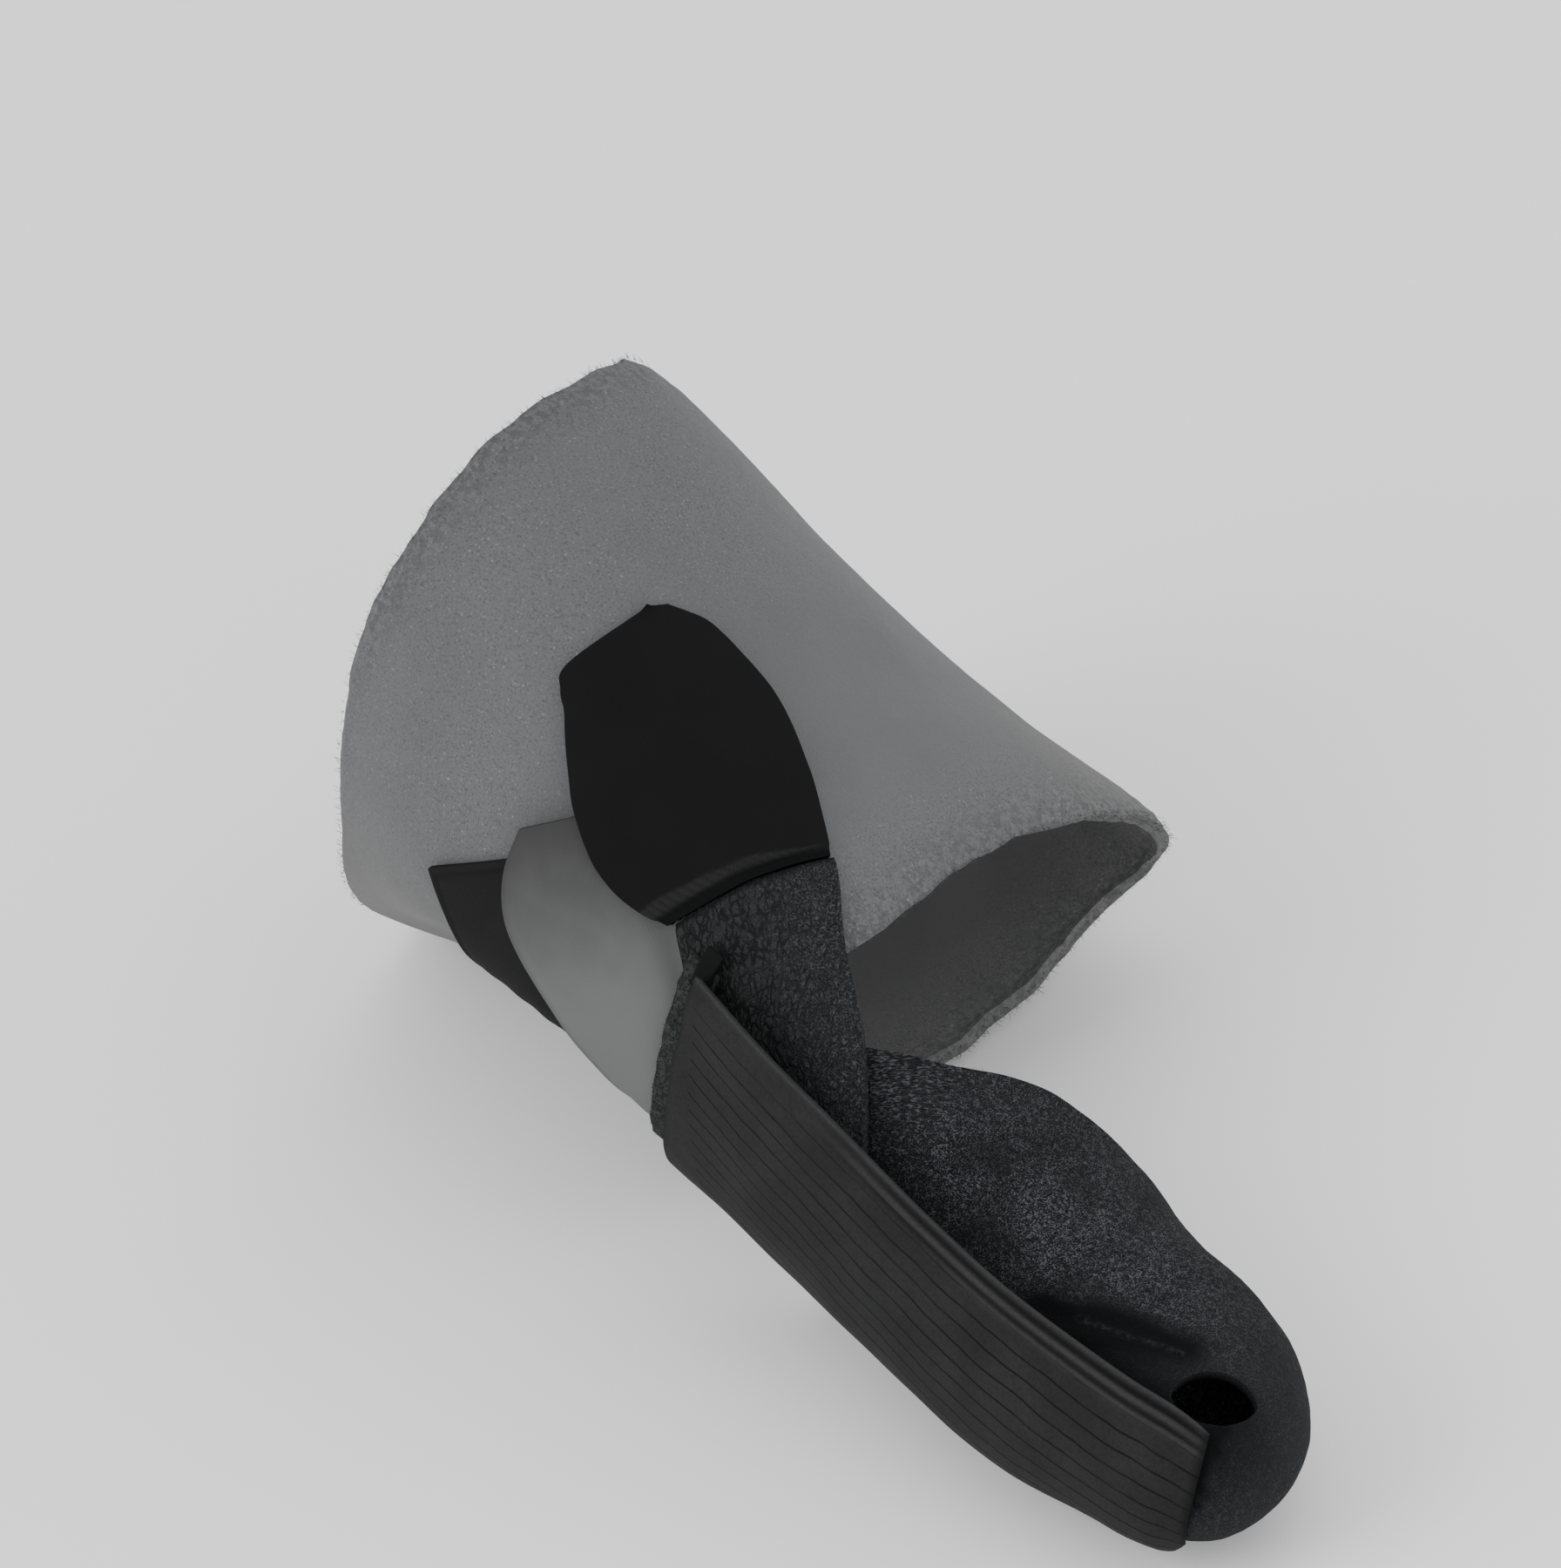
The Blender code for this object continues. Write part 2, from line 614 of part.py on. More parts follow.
def ribbed_band(under):
    """Elastic band from the instep strap to the toe tip, taut over the ball, with ribs along it."""
    start = band_start()
    end = BAND_EDGE[-1].along * FOOT_LENGTH
    columns = (RIB_COUNT + 2) * FACETS_PER_RIB
    places = []
    for row in range(BAND_ALONG + 1):
        reach = start + (end - start) * row / BAND_ALONG
        places.append(band_line(reach, BAND_WIDTH, columns))
    points, normals = ground(places)
    lifts = drape(points, normals, under)
    for row, line in enumerate(lifts):
        bow = sin(pi * row / BAND_ALONG)
        reach = start + (end - start) * row / BAND_ALONG
        fade = between(BAND_EDGE, "along", reach / FOOT_LENGTH).width ** 2
        for column in range(len(line)):
            drop = BAND_WIDTH * column / columns
            stand_off = BAND_STAND_OFF * bow * max(1.0 - 2.0 * drop / BAND_WIDTH, 0.0) ** 2
            line[column] += stand_off + rib_height(drop) * fade
    grid = raise_grid(points, normals, lifts)
    return cloth("ribbed_band", grid, form_facing, BAND_WALL, BLACK_RIB)


def main():
    for piece in list(bpy.data.objects):
        bpy.data.objects.remove(piece)
    wrap = midfoot_wrap()
    sleeve = toe_sleeve()
    arch = strap("arch_strap", strap_places(ARCH_COURSE, ARCH_OUTLINE, ARCH_LENGTH, ARCH_WIDTH),
                 (wrap,), ARCH_WALL, BLACK_WEB)
    tongue = strap("wrap_tongue",
                   strap_places(TONGUE_COURSE, TONGUE_OUTLINE, TONGUE_LENGTH, TONGUE_WIDTH),
                   (wrap, arch), TONGUE_WALL, GREY_KNIT)
    instep = strap("instep_strap",
                   strap_places(SEAM_AT._replace(bend=INSTEP_BEND), INSTEP_OUTLINE, INSTEP_LENGTH,
                                INSTEP_WIDTH, CLEARANCE),
                   (wrap, sleeve, arch, tongue), INSTEP_WALL, BLACK_FLEECE)
    tab_course = SEAM_AT._replace(course=SEAM_AT.course + 180)
    tab = strap("hook_tab", strap_places(tab_course, TAB_OUTLINE, TAB_LENGTH, TAB_WIDTH, CLEARANCE),
                (wrap, tongue), TAB_WALL, BLACK_WEB)
    lining = band_lining((wrap, sleeve, arch, tongue, instep))
    end_tab = band_end_tab((wrap, sleeve, tongue, instep, lining))
    ribbed_band((wrap, sleeve, arch, tongue, instep, tab, lining, end_tab))


if __name__ == "__main__":
    main()
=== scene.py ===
"""Looks of a worn bunion corrector: its cloths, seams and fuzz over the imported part."""

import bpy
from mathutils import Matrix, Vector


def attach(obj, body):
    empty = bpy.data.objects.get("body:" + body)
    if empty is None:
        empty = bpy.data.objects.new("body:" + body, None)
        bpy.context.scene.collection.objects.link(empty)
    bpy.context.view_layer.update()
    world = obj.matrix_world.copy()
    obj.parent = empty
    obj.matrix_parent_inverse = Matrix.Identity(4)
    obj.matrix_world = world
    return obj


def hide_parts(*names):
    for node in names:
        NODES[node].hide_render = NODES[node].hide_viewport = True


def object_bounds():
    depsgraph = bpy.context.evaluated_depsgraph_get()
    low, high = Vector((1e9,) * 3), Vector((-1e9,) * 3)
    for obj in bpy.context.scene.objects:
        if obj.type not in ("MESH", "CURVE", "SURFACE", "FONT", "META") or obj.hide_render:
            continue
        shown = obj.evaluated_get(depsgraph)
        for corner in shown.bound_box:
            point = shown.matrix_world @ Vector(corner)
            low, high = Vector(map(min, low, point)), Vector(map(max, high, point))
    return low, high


bl_info = {
    "name": "Bunion corrector cloths",
    "version": (1, 0, 0),
    "blender": (4, 5, 0),
    "location": "3D View > Sidebar > Corrector",
    "description": "Builds the cloth pieces of a bunion corrector over its packed part",
    "category": "Object",
}

from collections import namedtuple
from math import asin, atan2, cos, exp, pi, radians, sin

import bmesh
import bpy
import numpy as np
from bpy.props import FloatProperty, FloatVectorProperty, PointerProperty
from mathutils import Matrix, Quaternion, Vector, noise
from mathutils.bvhtree import BVHTree

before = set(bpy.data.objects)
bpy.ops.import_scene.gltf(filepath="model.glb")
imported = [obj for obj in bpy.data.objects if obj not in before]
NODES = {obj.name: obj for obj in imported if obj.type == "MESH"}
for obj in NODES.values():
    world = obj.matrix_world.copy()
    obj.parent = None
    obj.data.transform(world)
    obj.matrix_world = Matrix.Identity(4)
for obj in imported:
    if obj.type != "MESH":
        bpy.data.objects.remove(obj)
CAD_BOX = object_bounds()
TREES = {name: BVHTree.FromObject(node, bpy.context.evaluated_depsgraph_get())
         for name, node in NODES.items()}

# The foot that the part is worn on, in metres
FOOT_LENGTH = 0.2405
FOOT_WIDTH = 0.092
INSTEP_HEIGHT = 0.092
TOE_CAP_ROUND = 2.4
# The hollow under the arch: its depth, where along the foot and at which turn it is deepest, and
# how far it spreads, as a share of FOOT_LENGTH and in degrees
ARCH_HOLLOW = 0.0165
ARCH_HOLLOW_ALONG = 0.46
ARCH_HOLLOW_TURN = 228.0
ARCH_HOLLOW_SPREAD = 0.145
ARCH_HOLLOW_ARC = 33.0

# Walls of the cloths and the air that is left between two of them
WRAP_WALL = 0.0018
TONGUE_WALL = 0.0013
ARCH_WALL = 0.0010
INSTEP_WALL = 0.0013
TAB_WALL = 0.0011
SLEEVE_WALL = 0.0015
LINING_WALL = 0.0010
END_TAB_WALL = 0.0010
BAND_WALL = 0.0012
CLEARANCE = 0.00035

# Straps and tabs
TONGUE_WIDTH = 0.026
TONGUE_LENGTH = 0.0484
ARCH_WIDTH = 0.028
ARCH_LENGTH = 0.042
INSTEP_WIDTH = 0.029
INSTEP_LENGTH = 0.042
TAB_WIDTH = 0.027
TAB_LENGTH = 0.0375
LINING_SHOWS = 0.0038
LINING_TUCK = 0.0035
END_TAB_WIDTH = 0.0027
END_TAB_SHOWS = 0.0024
END_TAB_TUCK = 0.0020
END_TAB_OUT = 0.0015

# The ribbed band
BAND_WIDTH = 0.034
BAND_STAND_OFF = 0.0035
RIB_COUNT = 9

# The nail window of the sleeve
WINDOW_LENGTH = 0.0108
WINDOW_WIDTH = 0.0078
WINDOW_TWIST = 40.0

# The origin, as shares of the foot's length and of the instep's height
SEAT_ALONG = 0.48
SEAT_UP = 0.40

# Sections of the foot across its length. along is a share of FOOT_LENGTH. ridge is where the top
# line runs, inner and outer are the reach from it to each side, all shares of FOOT_WIDTH. waist_in
# and waist_out are the heights at which the two sides are widest, top and sole the highest and the
# lowest point, all shares of INSTEP_HEIGHT. The last four are the roundness of the quarters, 2 for
# an ellipse and more for a squarer one.
Section = namedtuple("Section", "along ridge inner outer waist_in waist_out top sole "
                                "top_in sole_in top_out sole_out")
SECTIONS = (
    Section(0.200, 0.02, 0.22, 0.33, 0.33, 0.25, 1.08, 0.04, 2.0, 2.0, 2.1, 2.2),
    Section(0.285, 0.00, 0.30, 0.38, 0.42, 0.25, 1.05, 0.05, 2.0, 2.0, 2.1, 2.2),
    Section(0.375, -0.03, 0.345, 0.46, 0.48, 0.25, 1.00, 0.05, 2.0, 2.0, 2.0, 2.2),
    Section(0.435, -0.08, 0.31, 0.52, 0.45, 0.24, 0.93, 0.05, 2.0, 2.0, 1.8, 2.2),
    Section(0.495, -0.12, 0.28, 0.57, 0.40, 0.22, 0.85, 0.05, 2.0, 1.9, 1.65, 2.2),
    Section(0.555, -0.15, 0.24, 0.62, 0.34, 0.20, 0.74, 0.05, 2.0, 1.8, 1.55, 2.2),
    Section(0.620, -0.18, 0.21, 0.66, 0.28, 0.17, 0.63, 0.04, 2.0, 1.7, 1.55, 2.2),
    Section(0.680, -0.22, 0.215, 0.63, 0.23, 0.16, 0.52, 0.03, 2.0, 1.8, 1.6, 2.2),
    Section(0.740, -0.27, 0.215, 0.40, 0.20, 0.16, 0.43, 0.035, 2.0, 1.9, 1.8, 2.2),
    Section(0.800, -0.32, 0.21, 0.24, 0.18, 0.16, 0.36, 0.045, 2.0, 2.0, 2.0, 2.2),
    Section(0.860, -0.37, 0.19, 0.185, 0.165, 0.16, 0.315, 0.055, 2.1, 2.1, 2.1, 2.2),
    Section(0.925, -0.41, 0.15, 0.165, 0.155, 0.155, 0.29, 0.06, 2.2, 2.2, 2.2, 2.2),
    Section(1.000, -0.46, 0.13, 0.165, 0.155, 0.155, 0.28, 0.065, 2.2, 2.2, 2.2, 2.2),
)
CAP_START = 0.925

# The midfoot wrap's two open edges, by the turn round the foot in degrees: 0 is the outer side,
# 90 the top, 180 the inner side and 270 the sole. back and front are shares of FOOT_LENGTH.
WrapEdge = namedtuple("WrapEdge", "turn back front")
WRAP_EDGES = (
    WrapEdge(0, 0.32, 0.60),
    WrapEdge(30, 0.345, 0.63),
    WrapEdge(60, 0.365, 0.65),
    WrapEdge(90, 0.375, 0.665),
    WrapEdge(120, 0.37, 0.65),
    WrapEdge(150, 0.347, 0.60),
    WrapEdge(180, 0.328, 0.575),
    WrapEdge(210, 0.292, 0.56),
    WrapEdge(235, 0.262, 0.56),
    WrapEdge(270, 0.23, 0.57),
    WrapEdge(300, 0.235, 0.58),
    WrapEdge(330, 0.27, 0.58),
)

# The toe sleeve's open edges. along is a share of FOOT_LENGTH, upper and under are turns in degrees
# of the edge on the top of the foot and of the edge on the sole. They meet where the web begins.
SleeveEdge = namedtuple("SleeveEdge", "along upper under")
SLEEVE_EDGES = (
    SleeveEdge(0.665, 130, 262),
    SleeveEdge(0.70, 113, 268),
    SleeveEdge(0.73, 94, 276),
    SleeveEdge(0.76, 74, 290),
    SleeveEdge(0.795, 52, 316),
    SleeveEdge(0.825, 26, 340),
    SleeveEdge(0.85, 0, 360),
)

# Straps start at a place on the foot and follow a course over it. start_along is a share of
# FOOT_LENGTH, start_turn and course are degrees: a course of 0 runs to the toes and 90 runs down
# the inner side. bend is how far the course turns towards the sole on its way. Their outlines give
# the reach as a share of the length, and how far the rear and the front edge lie from the middle
# line as shares of the width.
Course = namedtuple("Course", "start_along start_turn course bend")
Outline = namedtuple("Outline", "reach rear front")
SEAM_AT = Course(0.608, 116, 42, 0)
TAB_OUTLINE = (
    Outline(0.00, 0.39, 0.33),
    Outline(0.12, 0.51, 0.35),
    Outline(0.30, 0.59, 0.38),
    Outline(0.60, 0.57, 0.38),
    Outline(0.80, 0.51, 0.28),
    Outline(0.93, 0.43, 0.17),
    Outline(1.00, 0.06, 0.03),
)
INSTEP_BEND = 32
INSTEP_OUTLINE = (
    Outline(0.00, 0.325, 0.315),
    Outline(0.25, 0.38, 0.27),
    Outline(0.50, 0.48, 0.32),
    Outline(0.75, 0.50, 0.38),
    Outline(1.00, 0.50, 0.46),
)
TONGUE_COURSE = Course(0.53, 130, 60, -10)
TONGUE_OUTLINE = (
    Outline(0.00, 0.46, 0.44),
    Outline(0.10, 0.62, 0.50),
    Outline(0.22, 0.70, 0.47),
    Outline(0.45, 0.63, 0.42),
    Outline(0.63, 0.51, 0.36),
    Outline(1.00, 0.40, 0.28),
)
ARCH_COURSE = Course(0.494, 152, 66, 0)
ARCH_OUTLINE = (
    Outline(0.00, 0.70, 0.28),
    Outline(0.10, 0.71, 0.29),
    Outline(0.50, 0.71, 0.29),
    Outline(0.90, 0.70, 0.29),
    Outline(1.00, 0.68, 0.28),
)

# The band's upper edge: along is a share of FOOT_LENGTH, turn is in degrees and width is a share of
# BAND_WIDTH. slant is how far the lines down the band lean to the toes, in degrees.
Edge = namedtuple("Edge", "along turn width slant")
BAND_EDGE = (
    Edge(0.613, 138, 1.00, 12),
    Edge(0.67, 134, 1.00, 10),
    Edge(0.725, 130, 1.00, 8),
    Edge(0.79, 127, 0.96, 6),
    Edge(0.86, 123, 0.88, 4),
    Edge(0.93, 120, 0.71, 5),
    Edge(0.986, 113, 0.42, 24),
)
WINDOW_ALONG = 0.972
WINDOW_TURN = 93

# Facets of each piece
WRAP_ROUND, WRAP_ALONG = 44, 14
SLEEVE_ROUND, SLEEVE_ALONG = 30, 22
BAND_ALONG, FACETS_PER_RIB = 24, 3
STRAP_ACROSS, STRAP_ALONG = 10, 14
LINING_ACROSS = 3
END_TAB_FACETS = 2

# How a place is found on the form, how a cloth eases over the edges under it, and the small steps
# that slopes are measured over
LOCATE_ROUNDS = 8
EASE_ROUNDS = 6
EASE_SLOPE = 0.35
SAMPLES = 3
FEEL_DEPTH = 0.020
SMALL_STEP = 0.0001
SMALL_TURN = 0.01

# Lines sewn or pressed into the sleeve, as places of a share of FOOT_LENGTH and a turn in degrees
SLEEVE_FOLD = ((0.864, 117), (0.880, 113), (0.907, 100), (0.9265, 93.5), (0.939, 87))
FOLD_LINE = ((0.884, 110.4), (0.917, 102), (0.940, 90.2))
TOE_SEAM = ((0.9887, 108), (0.9946, 143), (0.9940, 166), (0.9829, 184))
LINE_STEPS = 40
BAR_AT = (0.9940, 166)
BAR_COURSE, BAR_STITCHES, BAR_LENGTH, BAR_WIDTH = 60, 6, 0.0019, 0.0008
STITCH_OVERLAP, STITCH_RISE, STITCH_OFF = 1.3, 0.0005, 0.0001
WINDOW_POINT, WINDOW_SIDES = 0.35, 64

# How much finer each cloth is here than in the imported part, and the least angle of a rounded edge
WRAP_FINER, SLEEVE_FINER, STRAP_FINER, BAND_FINER = 9, 8, 8, 8
EDGE_ANGLE = 70.0

# Corner of the wrap's rear edge beside the top: how far back it reaches, the share of that by
# which it stands off, its turn and its spread
CORNER_REACH, CORNER_FLARE, CORNER_TURN, CORNER_WIDE = 0.0036, 0.35, 54, 13

# Fullness of the sleeve at the toe's neck, at a share of FOOT_LENGTH and a turn in degrees, and how
# far it spreads both ways
NECK_FILL, NECK_AT, NECK_LONG, NECK_ARC = 0.0022, (0.905, 22), 0.055, 38.0

# Pitch of the webbing's weave and of the knit's wales
WEAVE_PITCH, KNIT_PITCH = 0.0006, 0.0005

# How far the elastic spans hollows, and how far the tab laps the strap's end
TAUT_STEPS, TAUT_MOST = 400, 0.0025
SEAM_LAP = 0.0004

# Bumps of each cloth, and scallops along an open edge: pitch in metres, seed of the noise and
# height in metres
WRAP_SCALLOPS = ((0.0060, 1, 0.0005), (0.0024, 2, 0.0002))
WRAP_BUMPS = ((0.006, 4, 0.00008), (0.002, 5, 0.00004))
SLEEVE_BUMPS = ((0.0045, 7, 0.00012), (0.0012, 8, 0.00005))
TONGUE_BUMPS = ((0.009, 17, 0.00015),)
INSTEP_BUMPS = ((0.0034, 18, 0.00014), (0.0012, 19, 0.00006))
BAND_BUMPS = ((0.009, 23, 0.00010),)
LINING_BUMPS = ((0.0018, 24, 0.00009),)
LINING_SCALLOPS = ((0.0017, 25, 0.0003),)

# The wrap's nubs and speckled patches, and how its edges droop: depth and reach
NUB_PITCH, PATCH_PITCH = 0.0018, 0.022
DROOP_DEPTH, DROOP_REACH = 0.0006, 0.0016

# The sleeve's fold, the thread beside it and its puckered seam: height and half width
FOLD_DEPTH, FOLD_WIDE = 0.00045, 0.0013
THREAD_RISE, THREAD_WIDE = 0.00025, 0.0006
PUCKER_RISE, PUCKER_WIDE, PUCKER_PITCH = 0.00018, 0.0035, 0.0016

# The arch strap's hem line: how far from the edge it runs, its half width and its depth. Then the
# depth of the tongue's crease.
HEM_LINE, HEM_LINE_WIDE, HEM_LINE_DEPTH = 0.0012, 0.0004, 0.00012
TONGUE_CREASE = 0.00045

# The hook tab: its pleats, its gathered strip and the groove at its seam, and the strap's dip there
PLEAT_PITCH, PLEAT_RISE, STRIP_RISE = 0.0012, 0.00012, 0.00006
STRAP_DIP, STRAP_DIP_WIDE = 0.0005, 0.0006
STRIP_DEEP, STRIP_TAPER, SEAM_GROOVE = 0.0038, 0.0029, 0.00055

# Ridges and grooves along the band's upper edge: distance from the edge and half width
HEM_ROLL, SECOND_RIDGE, THIRD_RIDGE = (0.0005, 0.0005), (0.0019, 0.00050), (0.0032, 0.00045)
FIRST_GROOVE, SECOND_GROOVE = (0.00115, 0.00028), (0.00258, 0.00026)
# Painted highlight along the hem's rounded upper edge: distance from the edge and half width
HEM_EDGE_HIGHLIGHT = (0.00025, 0.00028)
THIN_END, THIN_REACH = 0.8, 0.0060

# Loose fibres: their spacing along each edge, their root and their width, and the way in which the
# sleeve's nap is combed
WRAP_FIBRES, SLEEVE_TOP_FIBRES, SLEEVE_SOLE_FIBRES = 0.00018, 0.00020, 0.00030
INSTEP_FIBRES, LINING_FIBRES = 0.00022, 0.00012
FIBRE_ROOT, FIBRE_WIDTH = 0.0003, 0.00009
PILE_WAY = Vector((0.72, 0.68, -0.13)).normalized()

# Lamps: name, place, size and share of the key light
LAMPS = (
    ("key", (-0.30, -1.10, 0.75), 0.9, 1.0),
    ("fill", (1.0, -0.35, 0.60), 1.0, 0.30),
    ("top", (0.1, 0.5, 1.2), 1.2, 0.30),
    ("side", (0.80, 0.95, 0.40), 1.0, 0.45),
)
FLOOR_GAP, FLOOR_HALF, FLOOR_TONE = 0.001, 8.0, 0.93
SENSOR_HEIGHT, CLIP_END = 36.0, 20.0

SEAT = Vector((FOOT_LENGTH * SEAT_ALONG, 0.0, INSTEP_HEIGHT * SEAT_UP))
TIP = FOOT_LENGTH
CAP_FROM = CAP_START * FOOT_LENGTH
CAP_REACH = TIP - CAP_FROM
CAP_TRAVEL = CAP_REACH * pi / 2.0
TRAVEL_END = CAP_FROM + CAP_TRAVEL


def between(rows, key, value):
    """All columns of a table at a value of its key column, on a smooth curve through its rows."""
    keys = [getattr(row, key) for row in rows]
    value = min(max(value, keys[0]), keys[-1])
    index = 0
    while index < len(rows) - 2 and value > keys[index + 1]:
        index += 1
    span = keys[index + 1] - keys[index]
    part = (value - keys[index]) / span
    out = []
    for column in range(len(rows[0])):
        here, there = rows[index][column], rows[index + 1][column]
        before = rows[max(index - 1, 0)][column]
        after = rows[min(index + 2, len(rows) - 1)][column]
        reach_here = keys[index + 1] - keys[max(index - 1, 0)]
        reach_there = keys[min(index + 2, len(rows) - 1)] - keys[index]
        slope_here = (there - before) / reach_here * span
        slope_there = (after - here) / reach_there * span
        square, cube = part * part, part * part * part
        out.append(here * (2 * cube - 3 * square + 1) + slope_here * (cube - 2 * square + part)
                   + there * (3 * square - 2 * cube) + slope_there * (cube - square))
    return type(rows[0])(*out)


def station(travel):
    """Place along X and the closing share of the toe cap, for a travel along the foot."""
    if travel <= CAP_FROM:
        return travel, 1.0
    lean = min((travel - CAP_FROM) / CAP_TRAVEL, 1.0) * pi / 2.0
    power = 2.0 / TOE_CAP_ROUND
    return CAP_FROM + CAP_REACH * sin(lean) ** power, max(cos(lean), 0.0) ** power


def travel_at(x):
    """Travel along the foot that reaches a place along X."""
    if x <= CAP_FROM:
        return x
    part = min((x - CAP_FROM) / CAP_REACH, 0.999)
    return CAP_FROM + CAP_TRAVEL * asin(part ** (TOE_CAP_ROUND / 2.0)) / (pi / 2.0)


def quarter(section, turn):
    """Half width, half height, waist and roundness of the quarter that a turn lies in."""
    side, waist = section.inner, section.waist_in
    if cos(turn) >= 0:
        side, waist = section.outer, section.waist_out
    rise = section.top - waist if sin(turn) >= 0 else waist - section.sole
    if sin(turn) >= 0:
        roundness = section.top_out if cos(turn) >= 0 else section.top_in
    else:
        roundness = section.sole_out if cos(turn) >= 0 else section.sole_in
    return side * FOOT_WIDTH, rise * INSTEP_HEIGHT, waist * INSTEP_HEIGHT, roundness


def hollow(share, turn):
    """Depth of the arch's hollow at a place on the foot."""
    along = exp(-((share - ARCH_HOLLOW_ALONG) / ARCH_HOLLOW_SPREAD) ** 2)
    across = exp(-((turn - radians(ARCH_HOLLOW_TURN)) / radians(ARCH_HOLLOW_ARC)) ** 2)
    return ARCH_HOLLOW * along * across


def on_foot(travel, turn):
    """Point on the foot's form."""
    x, closing = station(travel)
    section = between(SECTIONS, "along", x / FOOT_LENGTH)
    turn = turn % (2.0 * pi)
    half_width, half_height, waist, roundness = quarter(section, turn)
    power = 2.0 / roundness
    across = abs(cos(turn)) ** power * (1 if cos(turn) >= 0 else -1)
    up = abs(sin(turn)) ** power * (1 if sin(turn) >= 0 else -1)
    ridge = section.ridge * FOOT_WIDTH
    point = Vector((x, ridge + half_width * across * closing, waist + half_height * up * closing))
    point.z += hollow(x / FOOT_LENGTH, turn)
    return point


def outwards(travel, turn):
    """Unit normal of the foot's form."""
    if travel > TRAVEL_END - 2.0 * SMALL_STEP:
        return Vector((1.0, 0.0, 0.0))
    along = on_foot(travel + SMALL_STEP, turn) - on_foot(travel - SMALL_STEP, turn)
    around = on_foot(travel, turn + SMALL_TURN) - on_foot(travel, turn - SMALL_TURN)
    return around.cross(along).normalized()


def locate(point):
    """Travel and turn of the place on the form that lies nearest a point in its own section."""
    travel = travel_at(point.x)
    share = point.x / FOOT_LENGTH
    section = between(SECTIONS, "along", share)
    across = point.y - section.ridge * FOOT_WIDTH
    waist = (section.waist_out if across >= 0 else section.waist_in) * INSTEP_HEIGHT
    sign = 1 if across >= 0 else -1
    turn = atan2(point.z - waist, across) % (2.0 * pi)
    for _ in range(LOCATE_ROUNDS):
        up = point.z - hollow(share, turn) - waist
        half_width, half_height, _, roundness = quarter(section, atan2(up, across))
        power = roundness / 2.0
        u = (abs(across) / half_width) ** power * sign
        v = (abs(up) / half_height) ** power * (1 if up >= 0 else -1)
        turn = atan2(v, u) % (2.0 * pi)
    return travel, turn


def step_on(travel, turn, way, distance):
    """Step over the form: the new travel and turn, and the way turned to stay on the surface."""
    normal = outwards(travel, turn)
    way = (way - normal * way.dot(normal)).normalized()
    target = on_foot(travel, turn) + way * distance
    travel, turn = locate(target)
    normal = outwards(travel, turn)
    return travel, turn, (way - normal * way.dot(normal)).normalized()


def walk(travel, turn, way, distance, strides):
    """Walk a distance over the form in even strides, and list each place on the way."""
    places = [(travel, turn)]
    for _ in range(strides):
        travel, turn, way = step_on(travel, turn, way, distance / strides)
        places.append((travel, turn))
    return places


def course_way(travel, turn, course):
    """Direction on the form of a course in degrees, from the toes round to the inner side."""
    normal = outwards(travel, turn)
    ahead = Vector((1.0, 0.0, 0.0))
    ahead = (ahead - normal * ahead.dot(normal)).normalized()
    down = ahead.cross(normal)
    if (on_foot(travel, turn + SMALL_TURN) - on_foot(travel, turn)).dot(down) < 0:
        down = -down
    return ahead * cos(radians(course)) + down * sin(radians(course))


def strap_places(course, outline, length, width, start=0.0):
    """Grid of places of a strap: a row for each reach, from its rear to its front edge."""
    travel, turn = course.start_along * FOOT_LENGTH, radians(course.start_turn)
    way = course_way(travel, turn, course.course)
    travel, turn, way = step_on(travel, turn, way, start)
    rows = []
    half = STRAP_ACROSS // 2
    for row in range(STRAP_ALONG + 1):
        reach = row / STRAP_ALONG
        shape = between(outline, "reach", reach)
        normal = outwards(travel, turn)
        front = normal.cross(way)
        if front.x < 0:
            front = -front
        rear_places = walk(travel, turn, -front, shape.rear * width, half)
        front_places = walk(travel, turn, front, shape.front * width, half)
        rows.append(rear_places[::-1] + front_places[1:])
        travel, turn, way = step_on(travel, turn, way, (length - start) / STRAP_ALONG)
        way = Quaternion(outwards(travel, turn), -radians(course.bend) / STRAP_ALONG) @ way
    return rows


def band_line(reach, drop, strides):
    """Places on a line down the band, from a reach along its upper edge. drop is its length at
    the band's full width."""
    edge = between(BAND_EDGE, "along", reach / FOOT_LENGTH)
    travel, turn = edge.along * FOOT_LENGTH, radians(edge.turn)
    ahead = between(BAND_EDGE, "along", edge.along + SMALL_TURN)
    behind = between(BAND_EDGE, "along", edge.along - SMALL_TURN)
    way = (on_foot(ahead.along * FOOT_LENGTH, radians(ahead.turn))
           - on_foot(behind.along * FOOT_LENGTH, radians(behind.turn))).normalized()
    if abs(reach - travel) > SMALL_STEP / 100.0:
        travel, turn, way = step_on(travel, turn, way, reach - travel)
    down = way.cross(outwards(travel, turn))
    if down.z > 0:
        down = -down
    slant = radians(edge.slant)
    down = down * cos(slant) + way * sin(slant)
    return walk(travel, turn, down, drop * edge.width, strides)


def ground(places):
    """Points and normals of a grid of places."""
    points = [[on_foot(*place) for place in row] for row in places]
    normals = [[outwards(*place) for place in row] for row in places]
    return points, normals


def height_over(trees, point, normal):
    """Height of the highest cloth over a point of the form, and None where there is none."""
    top = None
    point = point - SEAT
    for tree in trees:
        hit = tree.ray_cast(point + normal * FEEL_DEPTH, -normal, FEEL_DEPTH * 1.2)[0]
        if hit is not None:
            height = (hit - point).dot(normal)
            top = height if top is None else max(top, height)
    return top


